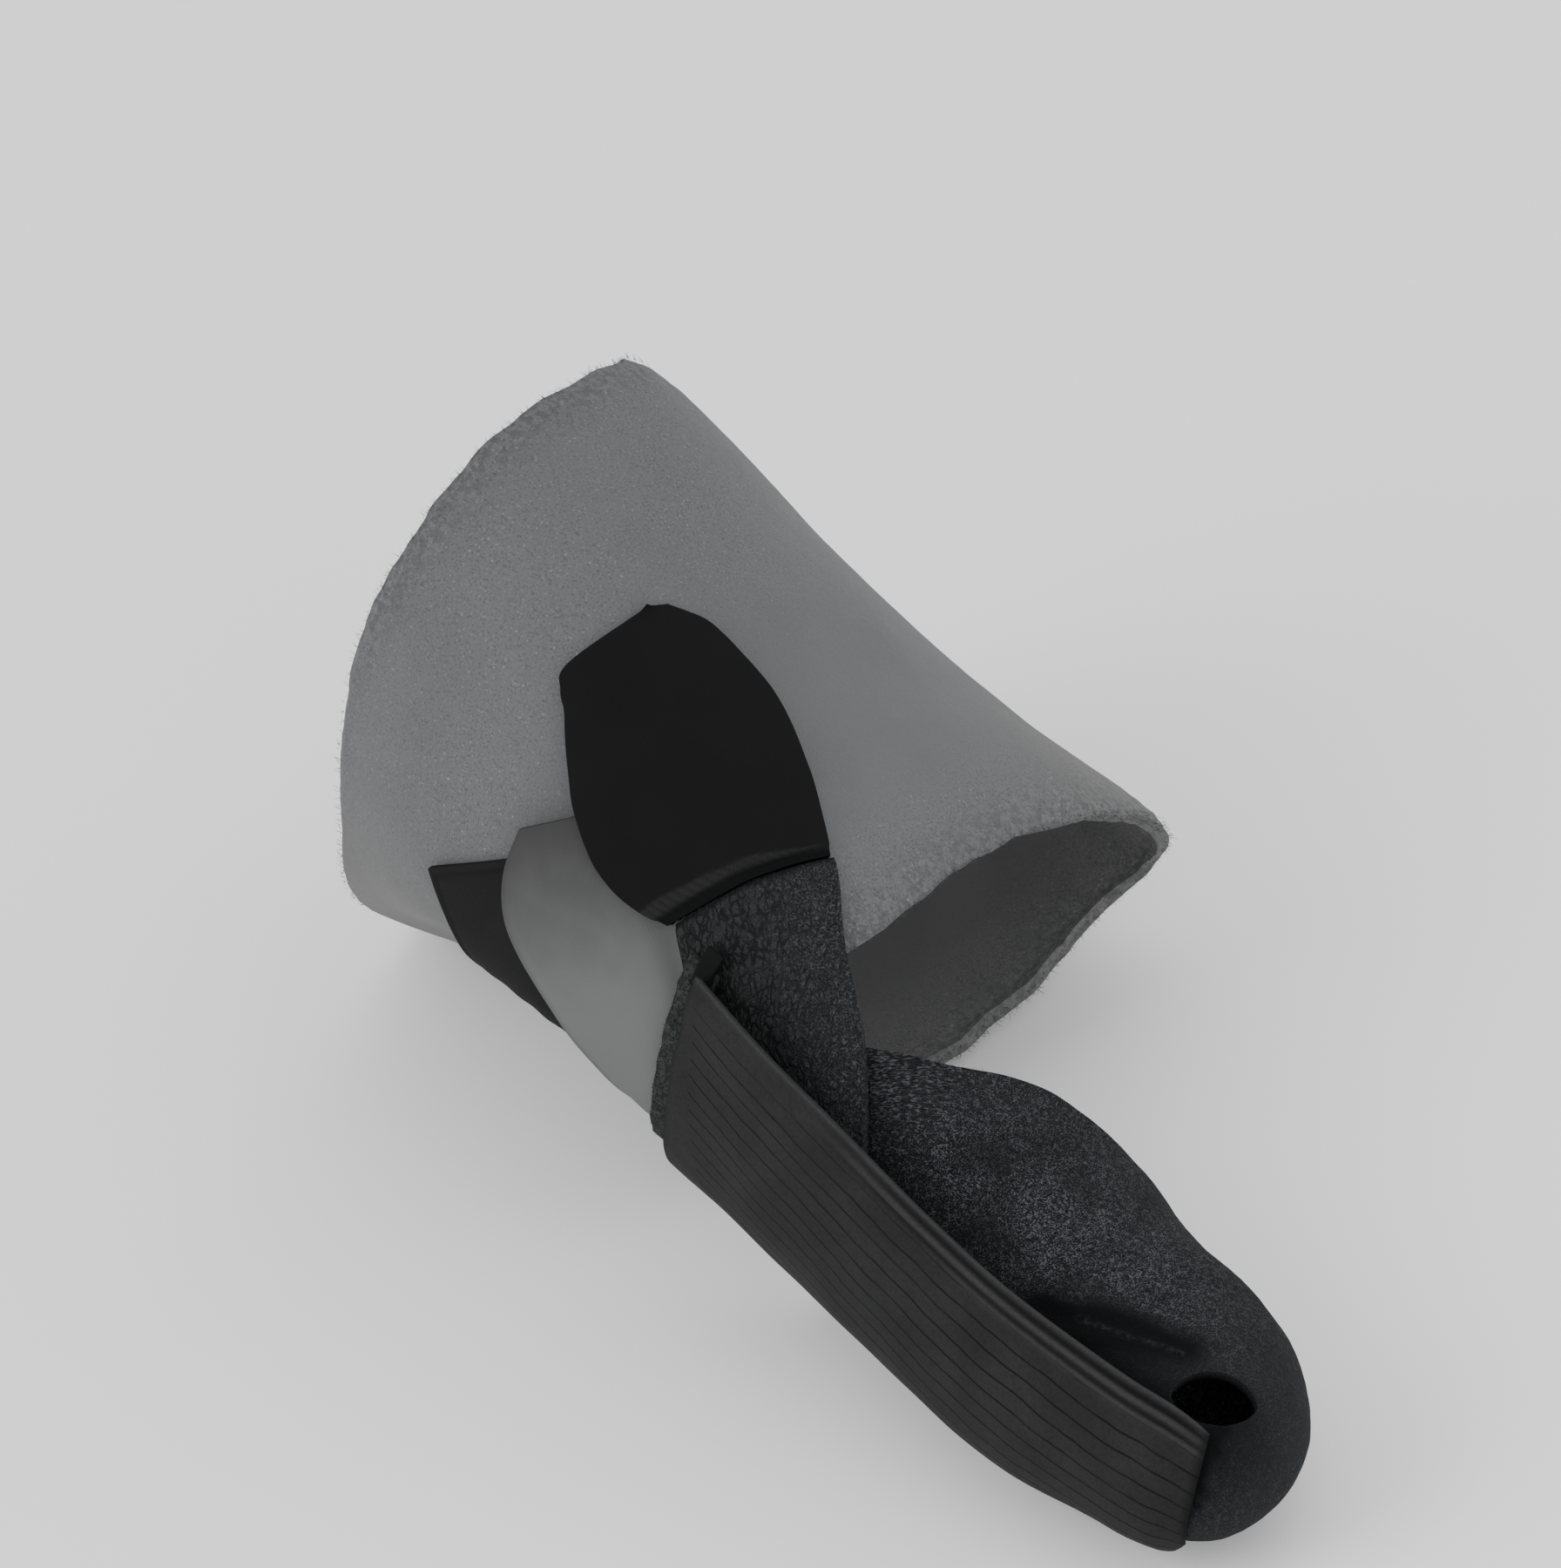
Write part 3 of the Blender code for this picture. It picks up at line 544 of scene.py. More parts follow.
def needed_lifts(points, normals, trees):
    """Lift that each point of a grid needs so that its facets clear the cloth under them."""
    rows, columns = len(points), len(points[0])
    need = [[0.0] * columns for _ in range(rows)]
    steps = [i / SAMPLES for i in range(SAMPLES + 1)]
    for row in range(rows - 1):
        for column in range(columns - 1):
            corners = ((row, column), (row + 1, column), (row, column + 1), (row + 1, column + 1))
            top = 0.0
            for s in steps:
                for t in steps:
                    shares = ((1 - s) * (1 - t), s * (1 - t), (1 - s) * t, s * t)
                    point, normal = (
                        sum((grid[r][c] * k for (r, c), k in zip(corners, shares)), Vector())
                        for grid in (points, normals))
                    height = height_over(trees, point, normal.normalized())
                    if height is not None:
                        top = max(top, height + CLEARANCE)
            for r, c in corners:
                need[r][c] = max(need[r][c], top)
    return need


def beside(row, column, rows, columns):
    """The places next to one in a grid."""
    places = ((row - 1, column), (row + 1, column), (row, column - 1), (row, column + 1))
    return [(r, c) for r, c in places if 0 <= r < rows and 0 <= c < columns]


def drape(points, normals, under):
    """Lifts that hold a grid clear of the nodes under it, with ramps where their edges end."""
    need = needed_lifts(points, normals, [TREES[name] for name in under])
    rows, columns = len(points), len(points[0])
    order = [(row, column) for row in range(rows) for column in range(columns)]
    for places in (order, order[::-1]) * 2:
        for row, column in places:
            for r, c in beside(row, column, rows, columns):
                ramp = need[r][c] - EASE_SLOPE * (points[r][c] - points[row][column]).length
                need[row][column] = max(need[row][column], ramp)
    lifts = [line[:] for line in need]
    for _ in range(EASE_ROUNDS):
        eased = [line[:] for line in lifts]
        for row, column in order:
            near = [lifts[r][c] for r, c in beside(row, column, rows, columns)]
            eased[row][column] = max(need[row][column], sum(near) / len(near))
        lifts = eased
    return lifts


def raise_grid(points, normals, lifts):
    """Points of a grid moved out along its normals."""
    return [[point + normal * lift for point, normal, lift in zip(*lines)]
            for lines in zip(points, normals, lifts)]


def band_start():
    """Reach at which the band begins."""
    return BAND_EDGE[0].along * FOOT_LENGTH


def refined_rows(grid, times):
    """Grid with more rows, on a smooth curve through the rows that it has."""
    rows = len(grid)
    out = []
    for row in range(rows - 1):
        here, there = grid[row], grid[row + 1]
        before = grid[row - 1] if row > 0 else 2.0 * here - there
        after = grid[row + 2] if row + 2 < rows else 2.0 * there - here
        for step in range(times):
            t = step / times
            out.append(0.5 * (2.0 * here + (there - before) * t
                              + (2.0 * before - 5.0 * here + 4.0 * there - after) * t * t
                              + (3.0 * here - before - 3.0 * there + after) * t * t * t))
    out.append(grid[-1])
    return np.array(out)


def refined(grid, down, across, closed=False):
    """Grid of points or lengths made finer both ways. closed joins its last column to its first."""
    grid = np.array(grid, float)
    if grid.ndim == 2:
        grid = grid[:, :, None]
    grid = refined_rows(grid, down)
    turned = np.swapaxes(grid, 0, 1)
    if closed:
        ring = np.concatenate([turned[-2:-1], turned, turned[1:2]])
        turned = refined_rows(ring, across)[across:-across]
    else:
        turned = refined_rows(turned, across)
    return np.swapaxes(turned, 0, 1)


class Cloth:
    """Fine grid of a cloth: its inner face, its normals and its lengths along and across."""

    def __init__(self, points, normals, down, across, closed=False):
        points = np.array([[tuple(point) for point in row] for row in points])
        normals = np.array([[tuple(normal) for normal in row] for row in normals])
        self.points = refined(points, down, across, closed)
        fine = refined(normals, down, across, closed)
        self.normals = fine / np.linalg.norm(fine, axis=2, keepdims=True)
        rows, columns = self.points.shape[:2]
        self.row_share = np.repeat(np.linspace(0.0, 1.0, rows)[:, None], columns, 1)
        self.column_share = np.repeat(np.linspace(0.0, 1.0, columns)[None, :], rows, 0)
        self.along = self.lengths(0)
        self.across = self.lengths(1)

    def lengths(self, axis):
        """Length over the cloth from its first row, or its first column, to each point."""
        steps = np.linalg.norm(np.diff(self.points, axis=axis), axis=2)
        pad = [(0, 0), (0, 0)]
        pad[axis] = (1, 0)
        return np.cumsum(np.pad(steps, pad), axis=axis)

    def flat_size(self):
        """Mean length across and along, in metres."""
        return float(self.across[:, -1].mean()), float(self.along[-1].mean())

    def flat_area(self):
        """Area of the cloth, in square metres."""
        down = np.diff(self.points, axis=0)[:, :-1]
        side = np.diff(self.points, axis=1)[:-1]
        return float(np.linalg.norm(np.cross(down, side), axis=2).sum())

    def edge_distance(self, rows_only=False):
        """Distance of each point to the nearest edge of the cloth, in metres."""
        near = np.minimum(self.along, self.along[-1:] - self.along)
        if rows_only:
            return near
        return np.minimum(near, np.minimum(self.across, self.across[:, -1:] - self.across))


def ruffle(points, pitch, seed):
    """Smooth noise from -1 to 1 over a grid of points, with bumps about a pitch wide."""
    shift = Vector((seed * 7.31, seed * 3.17, seed * 5.71))
    flat = points.reshape(-1, 3) / pitch
    return np.array([noise.noise(Vector(p) + shift) for p in flat]).reshape(points.shape[:2])


def bumpy(points, layers):
    """Sum of layers of noise over a grid of points, each with its pitch, seed and height."""
    return sum(ruffle(points, pitch, seed) * height for pitch, seed, height in layers)


def eased(value, low, high):
    """Smooth step of an array from 0 at low to 1 at high."""
    share = np.clip((value - low) / (high - low), 0.0, 1.0)
    return share * share * (3.0 - 2.0 * share)


def ridge_line(value, middle, width):
    """Rounded ridge of height 1 where an array passes a value."""
    return np.exp(-((value - middle) / width) ** 2)


def away_from(points, places, wall):
    """Distance of each point of a grid to a line over the form, through places given as a share
    of the foot's length and a turn in degrees."""
    path = []
    for (along, turn), (next_along, next_turn) in zip(places, places[1:]):
        for step in range(LINE_STEPS):
            share = step / LINE_STEPS
            travel = (along + (next_along - along) * share) * FOOT_LENGTH
            angle = radians(turn + (next_turn - turn) * share)
            path.append(tuple(on_foot(travel, angle) + outwards(travel, angle) * wall))
    nearest = np.full(points.shape[:2], 1.0)
    for stop in np.array(path):
        nearest = np.minimum(nearest, np.linalg.norm(points - stop, axis=2))
    return nearest


def taut(points, normals, lifts):
    """Lifts of a stretched cloth, which spans the hollows along its length in straight lines."""
    base = np.array([[tuple(point) for point in row] for row in points])
    up = np.array([[tuple(normal) for normal in row] for row in normals])
    low = np.array(lifts)
    lift = low.copy()
    for _ in range(TAUT_STEPS):
        places = base + up * lift[:, :, None]
        between_them = (places[:-2] + places[2:]) / 2.0 - base[1:-1]
        wanted = (between_them * up[1:-1]).sum(axis=2)
        lift[1:-1] = np.clip(wanted, low[1:-1], low[1:-1] + TAUT_MOST)
    return lift.tolist()


def woven_piece(name, cloth, wall, relief, marks=None, rounding=0.0, thin=None):
    """Piece of cloth: the grid of its outer face with its relief, and a wall that grows inwards.
    Its UV map holds the lengths across and along in metres, and its marks are painted on it. thin
    is the share of the wall that each point keeps."""
    share = np.ones(cloth.along.shape) if thin is None else thin
    outer = cloth.points + cloth.normals * (wall * share + relief)[:, :, None]
    rows, columns = outer.shape[:2]
    bm = bmesh.new()
    bmesh.ops.create_grid(bm, x_segments=columns - 1, y_segments=rows - 1, size=1.0)
    lengths = bm.loops.layers.uv.new("cloth")
    paints = {mark: bm.verts.layers.float.new(mark) for mark in marks or {}}
    walls = bm.verts.layers.deform.verify()
    places = {}
    for vertex in bm.verts:
        column = round((vertex.co.x + 1.0) / 2.0 * (columns - 1))
        row = round((vertex.co.y + 1.0) / 2.0 * (rows - 1))
        places[vertex] = (row, column)
        vertex[walls][0] = float(share[row, column])
        for mark, layer in paints.items():
            vertex[layer] = float(marks[mark][row, column])
    for face in bm.faces:
        for loop in face.loops:
            row, column = places[loop.vert]
            loop[lengths].uv = (cloth.across[row, column], cloth.along[row, column])
    for vertex, (row, column) in places.items():
        vertex.co = Vector(outer[row, column]) - SEAT
    bm.normal_update()
    bm.faces.ensure_lookup_table()
    middle = bm.faces[(rows // 2) * (columns - 1) + columns // 2]
    row, column = places[middle.verts[0]]
    if middle.normal.dot(Vector(cloth.normals[row, column])) < 0:
        bmesh.ops.reverse_faces(bm, faces=bm.faces)
    bmesh.ops.remove_doubles(bm, verts=bm.verts, dist=1e-6)
    piece = placed(name, bm)
    piece.vertex_groups.new(name="wall")
    thick = piece.modifiers.new("wall", "SOLIDIFY")
    thick.thickness = wall
    thick.vertex_group = "wall"
    thick.offset = -1.0
    thick.use_even_offset = False
    if rounding > 0.0:
        bevel = piece.modifiers.new("rounded edge", "BEVEL")
        bevel.width = rounding
        bevel.segments = 2
        bevel.limit_method = "ANGLE"
        bevel.angle_limit = radians(EDGE_ANGLE)
        bevel.use_clamp_overlap = True
    return piece


def placed(name, bm):
    """Object made of a bmesh, in the scene."""
    mesh = bpy.data.meshes.new(name)
    bm.to_mesh(mesh)
    bm.free()
    mesh.shade_smooth()
    piece = bpy.data.objects.new(name, mesh)
    bpy.context.scene.collection.objects.link(piece)
    return piece


def settle(piece, node, board):
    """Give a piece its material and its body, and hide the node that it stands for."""
    piece.data.materials.clear()
    piece.data.materials.append(board.material)
    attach(piece, "root")
    if node is not None:
        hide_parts(node)
    return piece


def declare(cloth):
    """Work out a cloth's width, length and area from its own lengths; nothing is kept or shown."""
    width, length = cloth.flat_size()
    area = min(cloth.flat_area(), width * length)


def strap_cloth(course, outline, length, width, under, start=0.0):
    """Fine cloth of a strap that lies over other nodes."""
    points, normals = ground(strap_places(course, outline, length, width, start))
    lifts = drape(points, normals, under)
    return Cloth(raise_grid(points, normals, lifts), normals, STRAP_FINER, STRAP_FINER)


def rim(cloth, wall, edge, pitch, seed):
    """Points along an edge of a cloth with their normals and the ways out, in the part's frame."""
    points, normals = cloth.points, cloth.normals
    picks = {"first_row": (points[0], points[1], normals[0]),
             "last_row": (points[-1], points[-2], normals[-1]),
             "first_column": (points[:, 0], points[:, 1], normals[:, 0]),
             "last_column": (points[:, -1], points[:, -2], normals[:, -1])}
    line, inside, up = picks[edge]
    reach = np.concatenate([[0.0], np.cumsum(np.linalg.norm(np.diff(line, axis=0), axis=1))])
    random = np.random.default_rng(seed)
    out = []
    for spot in np.sort(random.uniform(0.0, reach[-1], int(reach[-1] / pitch))):
        index = min(max(int(np.searchsorted(reach, spot)), 1), len(line) - 1)
        normal = Vector(up[index])
        way = Vector(line[index] - inside[index]).normalized()
        base = Vector(line[index]).lerp(Vector(line[index - 1]), random.uniform(0.0, 1.0))
        point = base + normal * (wall * random.uniform(0.1, 1.0)) - way * FIBRE_ROOT - SEAT
        out.append((point, normal, way))
    return out


def edge_fuzz(name, rims, length, seed):
    """Short bent fibres that stand out of a cloth's edge."""
    pattern = bmesh.new()
    bmesh.ops.create_cone(pattern, segments=3, radius1=0.5, radius2=0.1, depth=1.0)
    sides = [e for e in pattern.edges if abs(e.verts[0].co.z - e.verts[1].co.z) > 0.5]
    bmesh.ops.subdivide_edges(pattern, edges=sides, cuts=1)
    bmesh.ops.translate(pattern, verts=pattern.verts, vec=(0.0, 0.0, 0.5))
    template = bpy.data.meshes.new("fibre")
    pattern.to_mesh(template)
    pattern.free()
    bm = bmesh.new()
    random = np.random.default_rng(seed)
    for point, normal, out in rims:
        way = (out + normal * random.uniform(-0.3, 0.8)
               + out.cross(normal) * random.uniform(-0.8, 0.8)).normalized()
        side = way.cross(normal).normalized()
        over = side.cross(way)
        reach = length * random.uniform(0.4, 1.2)
        bend = random.uniform(-0.6, 0.6)
        before = len(bm.verts)
        bm.from_mesh(template)
        bm.verts.ensure_lookup_table()
        for vertex in bm.verts[before:]:
            x, y, z = vertex.co
            vertex.co = (point + way * (z * reach) + side * (x * FIBRE_WIDTH + bend * z * z * reach)
                         + over * (y * FIBRE_WIDTH))
    bmesh.ops.recalc_face_normals(bm, faces=bm.faces)
    bpy.data.meshes.remove(template)
    return placed(name, bm)


class Wire:
    """Output of a shader node, on which arithmetic adds Math nodes."""

    def __init__(self, board, socket):
        self.board = board
        self.socket = socket

    def maths(self, operation, *values):
        """Add a Math node that works on wires and numbers."""
        return self.board.add("ShaderNodeMath", {"operation": operation}, dict(enumerate(values)))

    def __add__(self, other):
        return self.maths("ADD", self, other)

    def __sub__(self, other):
        return self.maths("SUBTRACT", self, other)

    def __mul__(self, other):
        return self.maths("MULTIPLY", self, other)

    def __truediv__(self, other):
        return self.maths("DIVIDE", self, other)

    def __radd__(self, other):
        return self.maths("ADD", other, self)

    def __rsub__(self, other):
        return self.maths("SUBTRACT", other, self)


class Board:
    """Material of one cloth, built on its Principled shader."""

    def __init__(self, name, roughness=0.95, specular=0.1, sheen=0.0):
        self.material = bpy.data.materials.new(name)
        self.material.use_nodes = True
        self.tree = self.material.node_tree
        self.shader = self.tree.nodes["Principled BSDF"]
        self.shader.inputs["Roughness"].default_value = roughness
        self.shader.inputs["Specular IOR Level"].default_value = specular
        self.shader.inputs["Sheen Weight"].default_value = sheen
        self.shader.inputs["Sheen Roughness"].default_value = 0.4

    def add(self, kind, settings=None, values=None, output=0):
        """Add a node with its settings, then the values or wires of its sockets."""
        node = self.tree.nodes.new(kind)
        for key, value in (settings or {}).items():
            setattr(node, key, value)
        for slot, value in (values or {}).items():
            socket = node.inputs[slot]
            if isinstance(value, Wire):
                self.tree.links.new(value.socket, socket)
            else:
                socket.default_value = value
        return Wire(self, node.outputs[output])

    def feed(self, slot, wire):
        """Link a wire to the shader."""
        self.tree.links.new(wire.socket, self.shader.inputs[slot])

    def place(self):
        """Object coordinates."""
        return self.add("ShaderNodeTexCoord", output=3)

    def mark(self, name):
        """Mark painted on the cloth."""
        return self.add("ShaderNodeAttribute", {"attribute_name": name}, output=2)

    def lengths(self):
        """Lengths across and along the cloth, in metres."""
        both = self.add("ShaderNodeUVMap", {"uv_map": "cloth"})
        across = self.add("ShaderNodeSeparateXYZ", values={0: both})
        return across, Wire(self, across.socket.node.outputs[1])

    def height(self, where):
        """Third coordinate of a vector."""
        return self.add("ShaderNodeSeparateXYZ", values={0: where}, output=2)

    def stretched(self, where, way, share):
        """Vector with its part along a way made smaller, so that grain runs that way."""
        part = self.add("ShaderNodeVectorMath", {"operation": "DOT_PRODUCT"}, {0: where, 1: way}, 1)
        along = self.add("ShaderNodeVectorMath", {"operation": "SCALE"},
                         {0: way, "Scale": part * share})
        return self.add("ShaderNodeVectorMath", {"operation": "SUBTRACT"}, {0: where, 1: along})

    def grain(self, where, pitch, detail=2.0, roughness=0.5):
        """Noise with grains about a pitch wide, from 0 to 1."""
        values = {"Vector": where, "Scale": 1.0 / pitch, "Detail": detail, "Roughness": roughness}
        return self.add("ShaderNodeTexNoise", values=values)

    def cracks(self, where, pitch):
        """Distance to the edge of scales about a pitch wide, in pitches."""
        values = {"Vector": where, "Scale": 1.0 / pitch}
        return self.add("ShaderNodeTexVoronoi", {"feature": "DISTANCE_TO_EDGE"}, values)

    def step(self, value, low, high):
        """Smooth step from 0 at low to 1 at high."""
        settings = {"interpolation_type": "SMOOTHSTEP"}
        return self.add("ShaderNodeMapRange", settings, {0: value, 1: low, 2: high, 3: 0.0, 4: 1.0})

    def mix(self, share, first, second):
        """Blend of two colours."""
        first = (*first, 1.0) if isinstance(first, tuple) else first
        second = (*second, 1.0) if isinstance(second, tuple) else second
        return self.add("ShaderNodeMix", {"data_type": "RGBA"}, {0: share, 6: first, 7: second}, 2)

    def emboss(self, height, depth, strength):
        """Bump the surface by a height of 0 to 1 that is a depth high, in metres."""
        values = {"Strength": strength, "Distance": depth, "Height": height}
        self.feed("Normal", self.add("ShaderNodeBump", values=values))


def colour(values, share=1.0):
    """Plain tuple of a colour property, made darker or paler."""
    return tuple(value * share for value in values)


def brushed_grey(looks):
    """Brushed grey fleece with fine specks and with nubs along its open edges."""
    board = Board("brushed_grey_fleece", sheen=0.10)
    where = board.place()
    edge, speckled = board.mark("edge"), board.mark("speckled")
    fine = board.grain(where, looks.speckle, 2.0, 0.6)
    sparks = board.grain(where, looks.speckle, 1.0)
    coarse = board.grain(where, looks.speckle * 4.0, 2.0)
    lumps = board.grain(where, 0.0010, 2.0)
    cloud = board.grain(where, 0.014, 2.0)
    # Painted light: the paler grey_low low on the sides blends into the darker grey_high on the
    # top, as if lit from the side
    base = board.mix(board.step(board.height(where), -0.02, 0.04), colour(looks.grey_low),
                     colour(looks.grey_high))
    base = board.mix(board.step(cloud, 0.35, 0.65) * 0.35, base, colour(looks.grey_high, 0.86))
    much = 0.06 + speckled * 0.80
    pits = board.step(fine, 0.46, 0.34) * much
    base = board.mix(pits * 0.75, base, colour(looks.grey_dark))
    base = board.mix(board.step(fine, 0.56, 0.66) * much * 0.40, base, colour(looks.grey_pale, 0.8))
    base = board.mix(board.step(sparks, 0.70, 0.78) * much * 0.7, base,
                     colour(looks.grey_pale, 1.4))
    base = board.mix(edge * board.step(lumps, 0.62, 0.38) * 0.50, base,
                     colour(looks.grey_dark, 0.8))
    base = board.mix(edge * board.step(coarse, 0.58, 0.76) * 0.25, base, colour(looks.grey_pale))
    board.feed("Base Color", base)
    board.emboss(fine * 0.6 + coarse * 0.4 + lumps * edge * 0.6, 0.0004, 0.45)
    return board


def brushed_black(looks):
    """Brushed black fleece with a cool grey speckle, combed near the straps and pressed smooth
    at the toe."""
    board = Board("brushed_black_fleece", specular=0.12)
    where = board.place()
    combed, pressed, shade, line = (board.mark(m) for m in ("combed", "pressed", "shade", "line"))
    speckled = board.mark("speckled")
    round_grain = board.grain(where, looks.speckle * 0.62, 2.0, 0.65)
    pile = board.stretched(where, tuple(PILE_WAY), 0.78)
    long_grain = board.grain(pile, looks.speckle * 0.60, 2.0, 0.65)
    fine = round_grain + (long_grain - round_grain) * combed
    tufts = board.grain(where, looks.speckle * 2.2, 2.0)
    cloud = board.grain(where, 0.012, 2.0)
    base = board.mix(board.step(cloud, 0.30, 0.70), colour(looks.black_nap, 0.8),
                     colour(looks.black_nap, 1.2))
    rough = 1.0 - pressed * 0.50
    base = board.mix(board.step(fine, 0.50, 0.38) * rough, base, colour(looks.black_pit))
    specks = board.step(fine + tufts * 0.35, 0.68, 0.80) * rough
    base = board.mix(specks * speckled * board.step(cloud, 0.20, 0.55), base,
                     colour(looks.black_speck))
    base = board.mix(pressed * 0.4, base, colour(looks.black_nap, 1.35))
    base = board.mix(shade, base, colour(looks.black_pit, 0.8))
    base = board.mix(line * board.step(tufts, 0.35, 0.75) * 0.28, base,
                     colour(looks.black_speck, 0.8))
    board.feed("Base Color", base)
    board.emboss(fine * 0.7 + tufts * 0.5, 0.0006, 0.9)
    return board


def creased_black(looks):
    """Black fleece with a laid-down nap that cracks like leather beside the tongue."""
    board = Board("creased_black_fleece", specular=0.14)
    where = board.place()
    smooth, shade = board.mark("smooth"), board.mark("shade")
    across, along = board.lengths()
    wobble = board.grain(where, 0.0011, 3.0, 0.6)
    bent = board.add("ShaderNodeCombineXYZ", values={0: across * 1.7 + wobble * 0.0022,
                                                     1: along * 0.9 + wobble * 0.0012})
    scales = board.cracks(bent, 0.0014)
    torn = board.step(board.grain(where, 0.0016, 2.0), 0.34, 0.50)
    crack = board.step(scales, 0.13, 0.03) * (0.35 + smooth * 0.65) * torn
    fine = board.grain(where, looks.speckle * 0.75, 2.0, 0.65)
    tufts = board.grain(where, looks.speckle * 2.5, 2.0)
    base = board.mix(smooth, colour(looks.black_nap, 1.35), colour(looks.strap_smooth))
    base = board.mix(board.step(fine, 0.48, 0.36) * (0.7 - smooth * 0.5), base,
                     colour(looks.black_pit))
    specks = board.step(fine + tufts * 0.35, 0.68, 0.84) * (0.55 - smooth * 0.40)
    base = board.mix(specks, base, colour(looks.black_speck))
    base = board.mix(crack * (0.55 + wobble * 0.5), base, colour(looks.black_pit, 0.7))
    base = board.mix(shade, base, colour(looks.black_pit, 0.7))
    board.feed("Base Color", base)
    board.emboss(board.step(scales, 0.0, 0.25) * 0.8 + fine * 0.4, 0.0004, 0.9)
    return board


def smooth_black(looks, tint, name):
    """Smooth black webbing with a barely visible weave, and a gathered strip along its seam."""
    board = Board(name, roughness=0.8, specular=0.08)
    across, along = board.lengths()
    gathered, pleat, shade = board.mark("gathered"), board.mark("pleat"), board.mark("shade")
    warp = across.maths("SINE", across * (2.0 * pi / WEAVE_PITCH))
    weft = along.maths("SINE", along * (2.0 * pi / WEAVE_PITCH))
    cloud = board.grain(board.place(), 0.012, 3.0)
    base = board.mix(board.step(cloud, 0.3, 0.7), tint, colour(tint, 1.18))
    # Painted shade of the pleats: the strip is darker in their valleys and paler on their crests,
    # following their relief
    strip = board.mix(pleat, colour(looks.tab_strip, 0.6), colour(looks.tab_strip))
    base = board.mix(gathered, base, strip)
    base = board.mix(shade, base, colour(looks.black_pit, 0.5))
    board.feed("Base Color", base)
    board.emboss(warp * weft, 0.00003, 0.35)
    return board


def knitted_grey(looks):
    """Smooth grey knit with painted shade towards its tucked upper end and in its soft crease."""
    board = Board("smooth_grey_knit", roughness=0.9)
    across, along = board.lengths()
    shade = board.mark("shade")
    wales = across.maths("SINE", across * (2.0 * pi / KNIT_PITCH))
    cloud = board.grain(board.place(), 0.006, 2.0)
    # Painted shade: darker towards the upper end, which is tucked under the hook tab, and paler low
    # down
    tucked_shade = board.step(along + cloud * 0.008, 0.003, 0.032)
    base = board.mix(tucked_shade, colour(looks.knit_top), colour(looks.knit_low))
    base = board.mix(shade, base, colour(looks.knit_top, 0.8))
    board.feed("Base Color", base)
    board.emboss(wales * 0.3 + board.grain(board.place(), 0.0006), 0.00005, 0.3)
    return board


def ribbed_black(looks):
    """Dark grey elastic with thin black lines along it, which begin on a straight line, and a
    folded hem with painted highlights on its ridges and painted shade in its grooves."""
    board = Board("ribbed_dark_elastic", roughness=0.8, specular=0.12)
    where = board.place()
    across, along = board.lengths()
    groove, shade, pale = board.mark("groove"), board.mark("shade"), board.mark("pale")
    fine = board.grain(where, 0.0005, 3.0, 0.6)
    cloud = board.grain(where, 0.009, 2.0)
    wander = (board.grain(where, 0.0075, 2.0) - 0.5) * 0.0010
    beat = (across - looks.hem + wander) / looks.rib_pitch
    middle = beat.maths("ABSOLUTE", beat.maths("FRACT", beat) - 0.5)
    thin = board.step(middle, 0.425, 0.470)
    thin = thin * board.step(across, looks.hem * 0.9, looks.hem * 1.1)
    begin = along - across * 0.23 - 0.0006
    thin = thin * board.step(begin, 0.0, 0.0006)
    faint = board.step(board.grain(where, 0.005, 1.0), 0.38, 0.55)
    base = board.mix(board.step(cloud, 0.3, 0.7), colour(looks.rib_low), colour(looks.rib_high))
    base = board.mix(board.step(fine, 0.55, 0.40) * 0.25, base, colour(looks.rib_line))
    base = board.mix(thin * (0.72 + faint * 0.28), base, colour(looks.rib_line, 0.7))
    # Painted shade in the hem's grooves
    base = board.mix(groove, base, colour(looks.rib_line, 0.8))
    # Painted highlight on the hem's rounded edge and on its ridges
    base = board.mix(pale * (0.4 + fine * 0.6), base, colour(looks.rib_highlight))
    base = board.mix(shade, base, colour(looks.rib_line, 0.7))
    board.feed("Base Color", base)
    board.emboss(fine * 0.15 - thin, 0.00012, 0.6)
    return board


def plain_fibre(name, tint):
    """Loose nap, paler and darker from one fibre to the next."""
    board = Board(name)
    where = board.place()
    cloud = board.grain(where, 0.0009, 2.0)
    fine = board.grain(where, 0.0003, 2.0)
    base = board.mix(board.step(cloud, 0.35, 0.65), colour(tint, 0.75), colour(tint, 1.35))
    board.feed("Base Color", board.mix(board.step(fine, 0.50, 0.38), base, colour(tint, 0.4)))
    board.emboss(cloud + fine, 0.0004, 0.7)
    return board


def tint_of(name, description, default):
    """Property that holds a colour."""
    return FloatVectorProperty(name=name, description=description, subtype="COLOR", size=3,
                               default=default)


def size_of(name, description, default, subtype="DISTANCE"):
    """Property that holds a length in metres, or an angle."""
    return FloatProperty(name=name, description=description, subtype=subtype, default=default)


